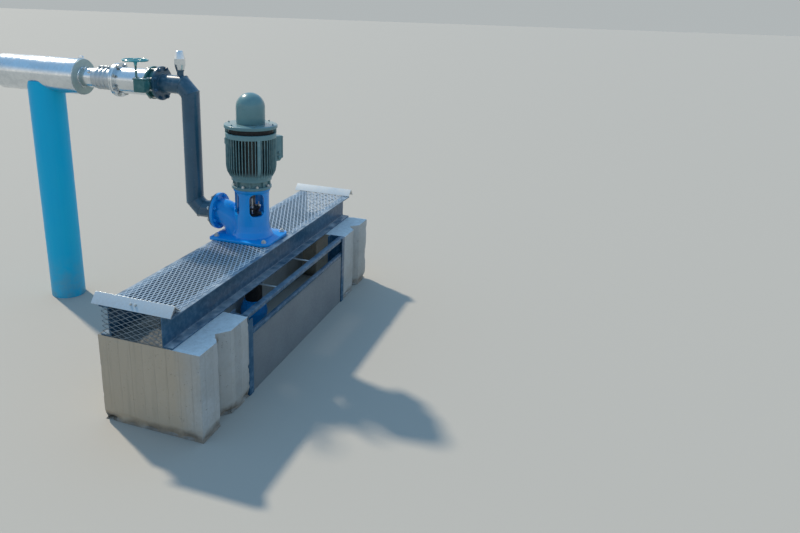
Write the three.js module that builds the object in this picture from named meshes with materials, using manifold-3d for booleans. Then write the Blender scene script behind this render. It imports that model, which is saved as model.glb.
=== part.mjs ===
// River intake station with a vertical turbine pump, in millimetres with +Z up.
// X runs along the river, +Y points to the bank, and Z = 0 is the water line.
import * as THREE from 'three';
import { mergeVertices } from 'three/addons/utils/BufferGeometryUtils.js';
import Module from 'manifold-3d';

const wasm = await Module();
wasm.setup();

// Clearance between pieces that touch
const gap = 0.3;

// Concrete box: two stepped wing walls and a back wall
const stationLength = 3600;
const wallTop = 730;
const outerBlock = 250;
const pierLength = 720;
const frontFace = -225;
const grooveWidth = 192;
const grooveDepth = 81;
const pierBack = 110;
const backWallFrom = 480;
const backWallTo = 650;

// Steel channels and the deck that lies on them
const channelHeight = 243;
const channelWidth = 85;
const channelWeb = 9;
const channelFlange = 12;
const channelInset = 6;
const deckWidth = 620;
const deckEdge = 28;
const meshThickness = 6;
const strandWidth = 7;
const meshLong = 188;
const meshShort = 76;
const endAngleLeg = 97;
const endAngleThickness = 8;
const endAngleFrom = 2;
const endAngleTo = 684;
const farAngleSeat = 16;
const panelGap = 8;
const nearPanelEdge = 70;
const farPanelEdge = 40;

// Guides, rail and screen on the river side
const guideDepth = 165;
const guideFlange = 75;
const guideSteel = 8;
const guideTop = wallTop + 4;
const railDepth = 56;
const railHeight = 38;
const railTop = 737;
const railWall = 4;
const strutHalf = 12;
const strutDepth = 8;
const strutTo = 62;
const strutPlaces = { near: -440, far: 270 };
const screenTop = 567;
const screenRailHeight = 36;
const screenRailDepth = 34;
const screenThickness = 12;
const screenOpening = 120;
const screenColumns = 12;
const screenRows = 3;

// Pump and motor
const pumpX = 45;
const pumpY = 328;
const baseX = 490;
const baseY = 600;
const baseThickness = 28;
const baseCorner = 90;
const baseShift = 32;
const bodyRadius = 160;
const bodyWall = 16;
const bodyTop = 1467;
const headFootRadius = 215;
const headFootHeight = 12;
const collarHeight = 90;
const collarWidth = 18;
const throatHeight = 150;
const rimHeight = 26;
const rimWidth = 12;
const innerFloorDrop = 14;
const windowBottom = 1215;
const windowTop = 1430;
const windowWidth = 138;
const windowReach = 300;
const outletRadius = 174;
const outletZ = 1190;
const outletFaceY = 690;
const outletThickness = 30;
const elbowRadius = 122;
const elbowBend = 182;
const shaftRadius = 31;
const boxFootRadius = 88;
const boxRadius = 62;
const glandRadius = 78;
const columnRadius = 84;
const bowlRadius = 138;
const bowlTop = 330;
const motorRingRadius = 184;
const motorRingHeight = 24;
const motorNeckRadius = 150;
const motorNeckHeight = 78;
const motorRadius = 231;
const skirtRadius = 186;
const skirtHeight = 22;
const shoulderHeight = 120;
const finRoot = 204;
const fins = 48;
const frameTop = 1937;
const bandHeight = 44;
const discRadius = 242;
const discTop = 2061;
const discHeight = 38;
const slotRadius = 205;
const canopyRadius = 131;
const canopyShoulder = 2205;
const canopyTop = 2334;
const terminalWidth = 140;
const terminalDepth = 79;
const terminalFrom = 1690;
const terminalTo = 1926;
const terminalTurn = -118;

// Discharge pipework
const riserRadius = 84;
const riserY = 945;
const bend = 78;
const footFlangeRadius = 168;
const footFlangeThickness = 18;
const mainZ = 2350;
const flangeFront = 1233;
const flangeRadius = 155;
const flangeThickness = 28;
const valveRadius = 124;
const valveLength = 58;
const spoolRadius = 122;
const spoolFlangeRadius = 150;
const spoolFlangeThickness = 24;
const ringFrom = 1690;
const ringTo = 1744;
const sleeveRadius = 102;
const ribHeight = 11;
const ribPlaces = [1832, 1878, 1924];
const stubFrom = 1985;
const headerRadius = 170;
const headerWall = 6;
const headerFrom = 2136;
const headerEnd = 3090;
const endPlate = 12;
const postY = 2604;
const postRadius = 172;
const postBelowAxis = 60;
const airY = 1042;
const airNeckRadius = 30;
const airRadius = 50;
const airTopRadius = 34;
const airHeight = 219;

// Valve gearbox and handwheel
const gearbox = { x: [-227, -139], y: [1246, 1371], z: [2288, 2412] };
const gearNeckRadius = 28;
const wheelX = -196;
const wheelY = 1346;
const wheelZ = 2570;
const wheelRadius = 120;
const wheelTube = 10;
const hubRadius = 22;
const stemRadius = 10;
const spokeWidth = 16;
const spokeThickness = 12;
const firstSpoke = 0.5;

const materials = {
  concrete: material(0x9fa6a8, 0.9, 0),
  navyPaint: material(0x25425f, 0.45, 0.1),
  galvanised: material(0xb9c2c8, 0.35, 0.9),
  meshSteel: material(0x9aa3ab, 0.45, 0.8),
  screenSteel: material(0x596066, 0.55, 0.6),
  pumpBlue: material(0x0d62c4, 0.3, 0.05),
  motorGreen: material(0x57706f, 0.5, 0.1),
  valveGreen: material(0x1f4146, 0.5, 0.2),
  tealPaint: material(0x2f7a80, 0.4, 0.1),
  plasticBlue: material(0x0f9ac6, 0.4, 0),
  blackCast: material(0x1c1f22, 0.6, 0.2),
  brightSteel: material(0xc9ccd0, 0.25, 1),
};

function material(color, roughness, metalness) {
  return new THREE.MeshStandardMaterial({ color, roughness, metalness });
}

// Merged, outward-facing geometry without flat triangles
function closed(geometry) {
  const bare = geometry.clone();
  bare.deleteAttribute('normal');
  bare.deleteAttribute('uv');
  const merged = mergeVertices(bare, 1e-3);
  const position = merged.getAttribute('position');
  const kept = [];
  let volume = 0;
  const [a, b, c] = [new THREE.Vector3(), new THREE.Vector3(), new THREE.Vector3()];
  for (let i = 0; i < merged.index.count; i += 3) {
    const corners = [0, 1, 2].map((k) => merged.index.getX(i + k));
    if (new Set(corners).size < 3) continue;
    [a, b, c].forEach((vertex, k) => vertex.fromBufferAttribute(position, corners[k]));
    volume += a.dot(b.clone().cross(c));
    kept.push(...corners);
  }
  if (volume < 0) {
    for (let i = 0; i < kept.length; i += 3) [kept[i], kept[i + 1]] = [kept[i + 1], kept[i]];
  }
  merged.setIndex(kept);
  return merged;
}

function toManifold(geometry) {
  const source = closed(geometry);
  return new wasm.Manifold(new wasm.Mesh({
    numProp: 3,
    vertProperties: new Float32Array(source.getAttribute('position').array),
    triVerts: new Uint32Array(source.index.array),
  }));
}

function fromManifold(manifold) {
  const mesh = manifold.getMesh();
  const geometry = new THREE.BufferGeometry();
  geometry.setAttribute('position', new THREE.BufferAttribute(new Float32Array(mesh.vertProperties), 3));
  geometry.setIndex([...mesh.triVerts]);
  return geometry;
}

function join(...geometries) {
  return fromManifold(geometries.map(toManifold).reduce((sum, next) => sum.add(next)));
}

function cut(base, ...tools) {
  return fromManifold(tools.map(toManifold).reduce((rest, tool) => rest.subtract(tool), toManifold(base)));
}

function block(x0, x1, y0, y1, z0, z1) {
  const box = new THREE.BoxGeometry(x1 - x0, y1 - y0, z1 - z0);
  return box.translate((x0 + x1) / 2, (y0 + y1) / 2, (z0 + z1) / 2);
}

function shapeOf(points, holes = []) {
  const shape = new THREE.Shape(points.map(([u, v]) => new THREE.Vector2(u, v)));
  shape.holes = holes.map((hole) => new THREE.Path(hole.map(([u, v]) => new THREE.Vector2(u, v))));
  return shape;
}

// A prism of an outline given as [y, z] for X, [x, z] for Y and [x, y] for Z
function prism(axis, outline, from, to, holes = []) {
  const solid = new THREE.ExtrudeGeometry(shapeOf(outline, holes), {
    depth: to - from, bevelEnabled: false, steps: 1,
  });
  const turn = new THREE.Matrix4();
  if (axis === 'X') turn.set(0, 0, 1, from, 1, 0, 0, 0, 0, 1, 0, 0, 0, 0, 0, 1);
  if (axis === 'Y') turn.set(1, 0, 0, 0, 0, 0, -1, to, 0, 1, 0, 0, 0, 0, 0, 1);
  if (axis === 'Z') turn.makeTranslation(0, 0, from);
  return solid.applyMatrix4(turn);
}

// A turned piece from [radius, distance along the axis] points
function turned(axis, centre, profile, segments = 36) {
  const points = profile.map(([radius, along]) => new THREE.Vector2(radius, along));
  const lathe = new THREE.LatheGeometry(points, segments);
  if (axis === 'X') lathe.rotateZ(-Math.PI / 2);
  if (axis === 'Z') lathe.rotateX(Math.PI / 2);
  return closed(lathe).translate(...centre);
}

function rod(axis, centre, radius, from, to, segments = 32) {
  return turned(axis, centre, [[0, from], [radius, from], [radius, to], [0, to]], segments);
}

function tube(axis, centre, outer, inner, from, to, segments = 32) {
  const profile = [[inner, from], [outer, from], [outer, to], [inner, to], [inner, from]];
  return turned(axis, centre, profile, segments);
}

function roundedRectangle(width, depth, radius, centreX, centreY, steps = 6) {
  const points = [];
  const corners = [[1, 1, 0], [-1, 1, 90], [-1, -1, 180], [1, -1, 270]];
  for (const [sideX, sideY, start] of corners) {
    for (let i = 0; i <= steps; i += 1) {
      const angle = THREE.MathUtils.degToRad(start + (90 * i) / steps);
      points.push([
        centreX + sideX * (width / 2 - radius) + radius * Math.cos(angle),
        centreY + sideY * (depth / 2 - radius) + radius * Math.sin(angle),
      ]);
    }
  }
  return points;
}

// A round pipe along straight runs in a plane of constant X, mitred where they meet
function mitredPipe(x, route, radius, segments = 28) {
  const rings = route.map(([y, z], i) => {
    const here = new THREE.Vector2(y, z);
    const before = i > 0 ? here.clone().sub(new THREE.Vector2(...route[i - 1])).normalize() : null;
    const after = i < route.length - 1 ? new THREE.Vector2(...route[i + 1]).sub(here).normalize() : null;
    const along = (before ?? after).clone().add(after ?? before).normalize();
    const stretch = 1 / along.dot(before ?? after);
    return Array.from({ length: segments }, (_, k) => {
      const angle = (2 * Math.PI * k) / segments;
      const side = radius * stretch * Math.sin(angle);
      return [x + radius * Math.cos(angle), y - along.y * side, z + along.x * side];
    });
  });
  const points = [...rings.flat(), [x, ...route[0]], [x, ...route.at(-1)]];
  const [firstCentre, lastCentre] = [points.length - 2, points.length - 1];
  const lastRing = (rings.length - 1) * segments;
  const faces = [];
  for (let k = 0; k < segments; k += 1) {
    const next = (k + 1) % segments;
    for (let ring = 0; ring < lastRing; ring += segments) {
      faces.push(ring + k, ring + next, ring + segments + next);
      faces.push(ring + k, ring + segments + next, ring + segments + k);
    }
    faces.push(firstCentre, next, k);
    faces.push(lastCentre, lastRing + k, lastRing + next);
  }
  const geometry = new THREE.BufferGeometry();
  geometry.setAttribute('position', new THREE.Float32BufferAttribute(points.flat(), 3));
  geometry.setIndex(faces);
  return closed(geometry);
}

const station = new THREE.Group();

function piece(name, geometry, finish) {
  const mesh = new THREE.Mesh(closed(geometry), finish);
  mesh.name = name;
  station.add(mesh);
  return mesh;
}

const half = stationLength / 2;
const deckZ = wallTop + gap + channelHeight;
const meshTop = deckZ + gap + meshThickness;
const pierInner = half - pierLength;

// Concrete
function wingWall(side) {
  const grooveFrom = half - outerBlock;
  const grooveTo = grooveFrom - grooveWidth;
  const outline = [
    [half, frontFace], [half, backWallFrom - gap], [half - outerBlock, backWallFrom - gap],
    [half - outerBlock, pierBack], [pierInner, pierBack], [pierInner, frontFace],
    [grooveTo, frontFace], [(grooveFrom + grooveTo) / 2, frontFace + grooveDepth], [grooveFrom, frontFace],
  ];
  return prism('Z', outline.map(([x, y]) => [side * x, y]), 0, wallTop);
}
piece('near_wing_wall', wingWall(-1), materials.concrete);
piece('far_wing_wall', wingWall(1), materials.concrete);
piece('back_wall', block(-half, half, backWallFrom, backWallTo, 0, wallTop), materials.concrete);

// Channels, with their flanges pointing outward
function channel(tipY, direction) {
  const z0 = wallTop + gap;
  const web = tipY + direction * channelWidth;
  const inner = web - direction * channelWeb;
  const outline = [
    [tipY, z0], [web, z0], [web, deckZ], [tipY, deckZ],
    [tipY, deckZ - channelFlange], [inner, deckZ - channelFlange],
    [inner, z0 + channelFlange], [tipY, z0 + channelFlange],
  ];
  return prism('X', outline, -half + channelInset, half - channelInset);
}
piece('river_channel', channel(0, 1), materials.navyPaint);
piece('bank_channel', channel(deckWidth, -1), materials.navyPaint);

// Ridge-up end angles, tilted so that both toes sit level on channel and mesh
const angleTilt = Math.PI / 4
  + Math.asin((meshTop - deckZ + gap) / ((endAngleLeg - endAngleThickness) * Math.SQRT2));
const angleReach = endAngleLeg * (Math.cos(angleTilt) + Math.sin(angleTilt));
function endAngle(toeX, toeZ, inward) {
  const outline = [
    [0, 0], [endAngleLeg, 0], [endAngleLeg, -endAngleLeg],
    [endAngleLeg - endAngleThickness, -endAngleLeg],
    [endAngleLeg - endAngleThickness, -endAngleThickness], [0, -endAngleThickness],
  ];
  const [cosine, sine] = [Math.cos(angleTilt), Math.sin(angleTilt)];
  const drop = endAngleThickness * cosine;
  const tilted = outline.map(([u, v]) => [
    toeX + inward * (u * cosine - v * sine), toeZ + drop + u * sine + v * cosine,
  ]);
  return prism('Y', tilted, endAngleFrom, endAngleTo);
}
piece('near_end_angle', endAngle(-half + 1, deckZ + gap, 1), materials.galvanised);
const farToe = half - channelInset + angleReach - farAngleSeat;
piece('far_end_angle', endAngle(farToe, 2 * deckZ + gap - meshTop, -1), materials.galvanised);

// Expanded metal as a plate with staggered diamond holes, its long way along u
function expandedMetal(uFrom, uTo, vFrom, vTo) {
  const outline = [[uFrom, vFrom], [uTo, vFrom], [uTo, vTo], [uFrom, vTo]];
  const holes = [];
  const columns = Math.round((uTo - uFrom - strandWidth) / (meshLong / 2));
  const rows = Math.round((vTo - vFrom - strandWidth) / (meshShort / 2));
  const [stepU, stepV] = [(uTo - uFrom - strandWidth) / columns, (vTo - vFrom - strandWidth) / rows];
  const shrink = strandWidth / 2;
  for (let i = 1; i < columns; i += 1) {
    for (let j = 1; j < rows; j += 1) {
      if ((i + j) % 2) continue;
      const u = uFrom + strandWidth / 2 + i * stepU;
      const v = vFrom + strandWidth / 2 + j * stepV;
      const reachU = stepU - shrink * Math.hypot(stepU, stepV) / stepV;
      const reachV = stepV - shrink * Math.hypot(stepU, stepV) / stepU;
      holes.push([[u - reachU, v], [u, v - reachV], [u + reachU, v], [u, v + reachV]]);
    }
  }
  return { outline, holes };
}
function deckMesh(x0, x1) {
  const { outline, holes } = expandedMetal(x0, x1, deckEdge, deckWidth - deckEdge);
  return prism('Z', outline, deckZ + gap, meshTop, holes);
}
const [panelTo, panelFrom] = [pumpX - baseX / 2 - panelGap, pumpX + baseX / 2 + panelGap];
piece('near_deck_mesh', deckMesh(-half + nearPanelEdge, panelTo), materials.meshSteel);
piece('far_deck_mesh', deckMesh(panelFrom, half - farPanelEdge), materials.meshSteel);
function endMesh(side) {
  const { outline, holes } = expandedMetal(channelWidth + 4, deckWidth - 22, wallTop + gap, deckZ - 4);
  const inner = half - channelInset + gap;
  return side < 0
    ? prism('X', outline, -inner - meshThickness + 1, -inner, holes)
    : prism('X', outline, inner, inner + meshThickness - 1, holes);
}
piece('near_end_mesh', endMesh(-1), materials.meshSteel);
piece('far_end_mesh', endMesh(1), materials.meshSteel);

// Guides on the inner faces of the piers
function guidePost(side, flangeTop) {
  const web = pierInner - gap;
  const outline = [
    [web, frontFace], [web, frontFace + guideDepth], [web - guideFlange, frontFace + guideDepth],
    [web - guideFlange, frontFace + guideDepth - guideSteel],
    [web - guideSteel, frontFace + guideDepth - guideSteel],
    [web - guideSteel, frontFace + guideSteel], [web - guideFlange, frontFace + guideSteel],
    [web - guideFlange, frontFace],
  ];
  const post = prism('Z', outline.map(([x, y]) => [side * x, y]), 0, guideTop);
  if (flangeTop >= guideTop) return post;
  const edges = [side * (web - guideSteel), side * (web - guideFlange - 1)].sort((a, b) => a - b);
  const flangeBack = frontFace + guideSteel + 0.01;
  return cut(post, block(...edges, frontFace - 1, flangeBack, flangeTop, guideTop + 1));
}
piece('near_guide_post', guidePost(-1, railTop - railHeight - 8), materials.navyPaint);
piece('far_guide_post', guidePost(1, guideTop), materials.navyPaint);

// Rail, its struts and the screen, held between the guides
const railFront = frontFace + guideSteel + gap;
const innerReach = pierInner - gap - guideSteel - gap;
function rectangle(u0, u1, v0, v1) {
  return [[u0, v0], [u1, v0], [u1, v1], [u0, v1]];
}
function rectangularTube(depth, height, top) {
  const [back, bottom] = [railFront + depth, top - height];
  const outline = rectangle(railFront, back, bottom, top);
  const hole = rectangle(railFront + railWall, back - railWall, bottom + railWall, top - railWall);
  return prism('X', outline, -innerReach, innerReach, [hole]);
}
piece('upper_rail', rectangularTube(railDepth, railHeight, railTop), materials.navyPaint);
for (const [side, x] of Object.entries(strutPlaces)) {
  piece(`${side}_rail_strut`, block(x - strutHalf, x + strutHalf, railFront + railDepth + gap, strutTo,
    wallTop - strutDepth, wallTop), materials.galvanised);
}

// The screen as a sheet with a plain grid of openings
function screenPanel() {
  const [back, top] = [railFront + screenThickness, screenTop - screenRailHeight - gap];
  const [pitchX, pitchZ] = [(2 * innerReach) / screenColumns, top / screenRows];
  const reach = screenOpening / 2;
  const openings = [];
  for (let column = 0; column < screenColumns; column += 1) {
    for (let row = 0; row < screenRows; row += 1) {
      const [x, z] = [-innerReach + (column + 0.5) * pitchX, (row + 0.5) * pitchZ];
      openings.push(block(x - reach, x + reach, railFront - 1, back + 1, z - reach, z + reach));
    }
  }
  return cut(block(-innerReach, innerReach, railFront, back, 0, top), ...openings);
}
piece('screen_panel', screenPanel(), materials.screenSteel);
piece('screen_top_rail', rectangularTube(screenRailDepth, screenRailHeight, screenTop), materials.navyPaint);

// Discharge head: base plate, windowed barrel and outlet elbow in one casting
const axisPoint = [pumpX, pumpY, 0];
const outletAxis = [pumpX, 0, outletZ];
const plateTop = deckZ + gap + baseThickness;
function dischargeHead() {
  const plateOutline = roundedRectangle(baseX, baseY, baseCorner, pumpX, pumpY + baseShift);
  const plate = prism('Z', plateOutline, deckZ + gap, plateTop);
  const barrel = turned('Z', axisPoint, [
    [0, deckZ + gap], [headFootRadius, deckZ + gap], [headFootRadius, plateTop + headFootHeight],
    [bodyRadius + collarWidth, plateTop + collarHeight], [bodyRadius, plateTop + throatHeight],
    [bodyRadius, bodyTop - rimHeight - 8], [bodyRadius + rimWidth, bodyTop - rimHeight],
    [bodyRadius + rimWidth, bodyTop], [0, bodyTop],
  ], 40);
  const seat = outletFaceY - outletThickness;
  const route = [[outletFaceY - 4, outletZ]];
  for (let i = 0; i <= 6; i += 1) {
    const angle = (Math.PI / 2) * (i / 6);
    route.push([seat - elbowBend * Math.sin(angle), outletZ - elbowBend + elbowBend * Math.cos(angle)]);
  }
  route.push([seat - elbowBend, deckZ + gap + 2]);
  const elbow = mitredPipe(pumpX, route, elbowRadius);
  const flange = rod('Y', outletAxis, outletRadius, seat, outletFaceY, 40);
  const floor = windowBottom - innerFloorDrop;
  const hollow = rod('Z', axisPoint, bodyRadius - bodyWall, floor, bodyTop + 1, 40);
  const windows = [45, 135].map((turn) => block(
    -windowReach, windowReach, -windowWidth / 2, windowWidth / 2, windowBottom, windowTop,
  ).rotateZ(THREE.MathUtils.degToRad(turn)).translate(pumpX, pumpY, 0));
  return cut(join(plate, barrel, elbow, flange), hollow, ...windows);
}
piece('discharge_head', dischargeHead(), materials.pumpBlue);
const headFloor = windowBottom - innerFloorDrop + gap;
const boxBore = shaftRadius + 1;
const boxShoulder = headFloor + 14;
const glandFrom = headFloor + 62;
const glandTo = glandFrom + 16;
piece('packing_box', turned('Z', axisPoint, [
  [boxBore, headFloor], [boxFootRadius, headFloor], [boxFootRadius, boxShoulder],
  [boxRadius, boxShoulder + 4], [boxRadius, glandFrom], [glandRadius, glandFrom], [glandRadius, glandTo],
  [boxBore, glandTo], [boxBore, headFloor],
], 28), materials.blackCast);
piece('pump_shaft', rod('Z', axisPoint, shaftRadius, headFloor, bodyTop - gap, 20), materials.brightSteel);
piece('pump_column', rod('Z', axisPoint, columnRadius, bowlTop + gap, deckZ, 28), materials.blackCast);
piece('pump_bowl', turned('Z', axisPoint, [
  [0, 0], [bowlRadius, 0], [bowlRadius, bowlTop - 30], [bowlRadius - 12, bowlTop - 8],
  [bowlRadius - 42, bowlTop], [0, bowlTop],
], 32), materials.pumpBlue);

// Motor
function finnedOutline() {
  const points = [];
  const pitch = (2 * Math.PI) / fins;
  const [tipHalf, rootHalf] = [0.025, 0.032];
  for (let i = 0; i < fins; i += 1) {
    for (const [radius, angle] of [[motorRadius, -tipHalf], [motorRadius, tipHalf], [finRoot, rootHalf],
      [finRoot, pitch - rootHalf]]) {
      const turn = i * pitch + angle;
      points.push([pumpX + radius * Math.cos(turn), pumpY + radius * Math.sin(turn)]);
    }
  }
  return points;
}
const motorBase = bodyTop + gap;
const ringTop = motorBase + motorRingHeight;
const neckTop = motorBase + motorNeckHeight;
piece('motor_neck', turned('Z', axisPoint, [
  [0, motorBase], [motorRingRadius, motorBase], [motorRingRadius, ringTop], [motorNeckRadius, ringTop + 6],
  [motorNeckRadius, neckTop], [0, neckTop],
], 36), materials.motorGreen);
const frameBottom = neckTop + gap;
const slotBottom = frameTop + bandHeight;
function motorFrame() {
  const skirtTop = frameBottom + skirtHeight;
  const ribbed = prism('Z', finnedOutline(), skirtTop + 2, frameTop);
  const envelope = turned('Z', axisPoint, [
    [0, frameBottom], [skirtRadius, frameBottom], [skirtRadius, skirtTop],
    [motorRadius, frameBottom + shoulderHeight], [motorRadius + 1, slotBottom], [0, slotBottom],
  ], 40);
  const skirt = rod('Z', axisPoint, skirtRadius, frameBottom, skirtTop + 4, 40);
  const band = rod('Z', axisPoint, motorRadius, frameTop - 1, slotBottom, 40);
  const shaped = fromManifold(toManifold(ribbed).intersect(toManifold(envelope)));
  return join(shaped, skirt, band);
}
piece('motor_frame', motorFrame(), materials.motorGreen);
const discBottom = discTop - discHeight;
piece('motor_top_cover', turned('Z', axisPoint, [
  [0, slotBottom + gap], [slotRadius, slotBottom + gap], [slotRadius, discBottom], [discRadius, discBottom],
  [discRadius, discTop - 4], [discRadius - 6, discTop], [0, discTop],
], 40), materials.motorGreen);
const canopyProfile = [[0, discTop + gap], [canopyRadius, discTop + gap]];
for (let i = 0; i < 8; i += 1) {
  const angle = (Math.PI / 2) * (i / 8);
  const rise = (canopyTop - canopyShoulder) * Math.sin(angle);
  canopyProfile.push([canopyRadius * Math.cos(angle), canopyShoulder + rise]);
}
canopyProfile.push([0, canopyTop]);
piece('motor_canopy', turned('Z', axisPoint, canopyProfile, 32), materials.motorGreen);
function terminalBox() {
  const [across, out] = [terminalWidth / 2, motorRadius + terminalDepth];
  const box = block(-across, across, motorRadius, out, terminalFrom, terminalTo);
  return box.rotateZ(THREE.MathUtils.degToRad(terminalTurn)).translate(pumpX, pumpY, 0);
}
piece('terminal_box', terminalBox(), materials.motorGreen);

// Riser with a flange at each end
const footFrom = outletFaceY + gap;
const footTo = footFrom + footFlangeThickness;
const footFlange = rod('Y', outletAxis, footFlangeRadius, footFrom, footTo, 40);
piece('riser_bottom_flange', footFlange, materials.navyPaint);
piece('riser_pipe', mitredPipe(pumpX, [
  [footTo + gap, outletZ], [riserY - bend, outletZ], [riserY, outletZ + bend],
  [riserY, mainZ - bend], [riserY + bend, mainZ], [flangeFront - gap, mainZ],
], riserRadius), materials.navyPaint);
const mainAxis = [pumpX, 0, mainZ];
const flangeBack = flangeFront + flangeThickness;
const topFlange = rod('Y', mainAxis, flangeRadius, flangeFront, flangeBack, 36);
piece('riser_top_flange', topFlange, materials.navyPaint);

// Valve and main pipe: spool, ring flange, coupling sleeve and header with a flat end
const valveFrom = flangeBack + gap;
const valveTo = valveFrom + valveLength;
piece('butterfly_valve', rod('Y', mainAxis, valveRadius, valveFrom, valveTo, 36), materials.valveGreen);
const spoolFrom = valveTo + gap;
const spoolFlangeBack = spoolFrom + spoolFlangeThickness;
piece('valve_spool', turned('Y', mainAxis, [
  [0, spoolFrom], [spoolFlangeRadius, spoolFrom], [spoolFlangeRadius, spoolFlangeBack],
  [spoolRadius, spoolFlangeBack + 4], [spoolRadius, ringFrom], [0, ringFrom],
], 36), materials.galvanised);
piece('spool_flange', turned('Y', mainAxis, [
  [0, ringFrom + gap], [flangeRadius + 3, ringFrom + gap], [flangeRadius + 3, ringTo - 14],
  [flangeRadius - 9, ringTo], [0, ringTo],
], 36), materials.galvanised);
const sleeveFrom = ringTo + gap;
const sleeveProfile = [[0, sleeveFrom], [sleeveRadius, sleeveFrom]];
for (const start of ribPlaces) {
  sleeveProfile.push([sleeveRadius, start], [sleeveRadius + ribHeight, start + 3],
    [sleeveRadius + ribHeight, start + 15], [sleeveRadius, start + 18]);
}
sleeveProfile.push([sleeveRadius, stubFrom], [0, stubFrom]);
piece('coupling_sleeve', turned('Y', mainAxis, sleeveProfile, 32), materials.galvanised);
const stubRadius = sleeveRadius - 4;
piece('header_reducer', turned('Y', mainAxis, [
  [0, stubFrom + gap], [stubRadius, stubFrom + gap], [stubRadius, headerFrom - endPlate],
  [headerRadius, headerFrom - endPlate], [headerRadius, headerFrom], [0, headerFrom],
], 40), materials.galvanised);
const headerBore = headerRadius - headerWall;
piece('header_pipe', tube('Y', mainAxis, headerRadius, headerBore, headerFrom + gap, headerEnd, 40),
  materials.galvanised);
const post = rod('Z', [pumpX, postY, 0], postRadius, 0, mainZ - postBelowAxis, 40);
const saddle = rod('Y', mainAxis, headerRadius + gap, headerFrom, headerEnd, 40);
piece('pipe_support_post', cut(post, saddle), materials.plasticBlue);

// Air valve, seated on the round pipe
const airBase = mainZ + riserRadius;
function onPipe(geometry, radius, segments) {
  return cut(geometry, rod('Y', mainAxis, radius + gap, riserY, headerFrom, segments));
}
const airValve = turned('Z', [pumpX, airY, 0], [
  [0, mainZ + 20], [airNeckRadius, mainZ + 20], [airNeckRadius, airBase + 46],
  [airNeckRadius + 12, airBase + 54], [airRadius, airBase + 100], [airRadius, airBase + 150],
  [airTopRadius, airBase + airHeight], [0, airBase + airHeight + 4],
], 16);
piece('air_valve', onPipe(airValve, riserRadius, 28), materials.galvanised);

// Gearbox on the near side of the valve, with its stem and handwheel
const valveMiddle = valveFrom + valveLength / 2;
const gearCase = block(...gearbox.x, ...gearbox.y, ...gearbox.z);
const gearNeck = rod('X', [0, valveMiddle, mainZ], gearNeckRadius, gearbox.x[1] - 10, pumpX - 100, 20);
piece('valve_gearbox', onPipe(join(gearCase, gearNeck), valveRadius, 36), materials.valveGreen);
function handwheel() {
  const rimRadius = wheelRadius - wheelTube;
  const rim = new THREE.TorusGeometry(rimRadius, wheelTube, 8, 36).translate(wheelX, wheelY, wheelZ);
  const hub = rod('Z', [wheelX, wheelY, 0], hubRadius, wheelZ - 20, wheelZ + 14, 16);
  const stem = rod('Z', [wheelX, wheelY, 0], stemRadius, gearbox.z[1] + gap, wheelZ, 12);
  const [across, thick] = [spokeWidth / 2, spokeThickness / 2];
  const spokes = [0, 1, 2].map((i) => block(0, rimRadius, -across, across, -thick, thick)
    .rotateZ((2 * Math.PI * i) / 3 + firstSpoke).translate(wheelX, wheelY, wheelZ));
  return join(rim, hub, stem, ...spokes);
}
piece('handwheel', handwheel(), materials.tealPaint);

// Centred on the footprint
const extent = new THREE.Box3().setFromObject(station);
station.position.set(-(extent.min.x + extent.max.x) / 2, -(extent.min.y + extent.max.y) / 2, 0);

export default station;
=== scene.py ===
import math

import bpy
from mathutils import Matrix, Vector, noise


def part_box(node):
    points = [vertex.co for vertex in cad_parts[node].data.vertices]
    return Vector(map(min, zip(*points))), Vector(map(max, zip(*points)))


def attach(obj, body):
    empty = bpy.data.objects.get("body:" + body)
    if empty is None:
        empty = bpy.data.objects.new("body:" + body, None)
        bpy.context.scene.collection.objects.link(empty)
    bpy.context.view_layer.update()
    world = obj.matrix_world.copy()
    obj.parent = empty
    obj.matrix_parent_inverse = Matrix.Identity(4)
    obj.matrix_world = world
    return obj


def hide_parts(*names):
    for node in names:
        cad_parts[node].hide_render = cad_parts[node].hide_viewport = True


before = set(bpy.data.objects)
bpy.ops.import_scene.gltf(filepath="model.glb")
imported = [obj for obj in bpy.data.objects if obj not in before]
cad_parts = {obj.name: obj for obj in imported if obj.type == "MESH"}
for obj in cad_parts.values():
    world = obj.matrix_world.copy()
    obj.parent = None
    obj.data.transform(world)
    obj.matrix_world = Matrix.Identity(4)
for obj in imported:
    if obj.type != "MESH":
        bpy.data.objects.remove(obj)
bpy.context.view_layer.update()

# the station is drawn in millimetres from the middle of its river edge at the water line
originX = (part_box("back_wall")[0].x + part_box("back_wall")[1].x) / 2
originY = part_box("river_channel")[0].y


def at(x, y, z):
    return Vector((originX + x / 1000, originY + y / 1000, z / 1000))


print("frame loaded")

# camera: its place in millimetres, its turns in degrees, the photograph's lens in pixels
camera = {"place": (-5616, -2718, 3169), "yaw": -71.06, "pitch": -19.04, "lean": 2.03,
          "focalPixels": 703.1, "principal": (362, 240), "picture": (800, 533), "sensor": 36, "reach": 100}


def makeCamera():
    bpy.ops.object.select_all(action='DESELECT')
    bpy.ops.object.camera_add(location=at(*camera["place"]))
    eye = bpy.context.object
    turn = Matrix.Rotation(math.radians(camera["yaw"]), 3, 'Z')
    tilt = Matrix.Rotation(math.radians(90 + camera["pitch"]), 3, 'X')
    lean = Matrix.Rotation(math.radians(camera["lean"]), 3, 'Z')
    eye.rotation_euler = (turn @ tilt @ lean).to_euler()
    width, height = camera["picture"]
    eye.data.sensor_width = camera["sensor"]
    eye.data.lens = camera["focalPixels"] / width * camera["sensor"]
    eye.data.shift_x = 0.5 - camera["principal"][0] / width
    eye.data.shift_y = (camera["principal"][1] - height / 2) / width
    eye.data.clip_end = camera["reach"]
    bpy.context.scene.camera = eye


makeCamera()


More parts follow.
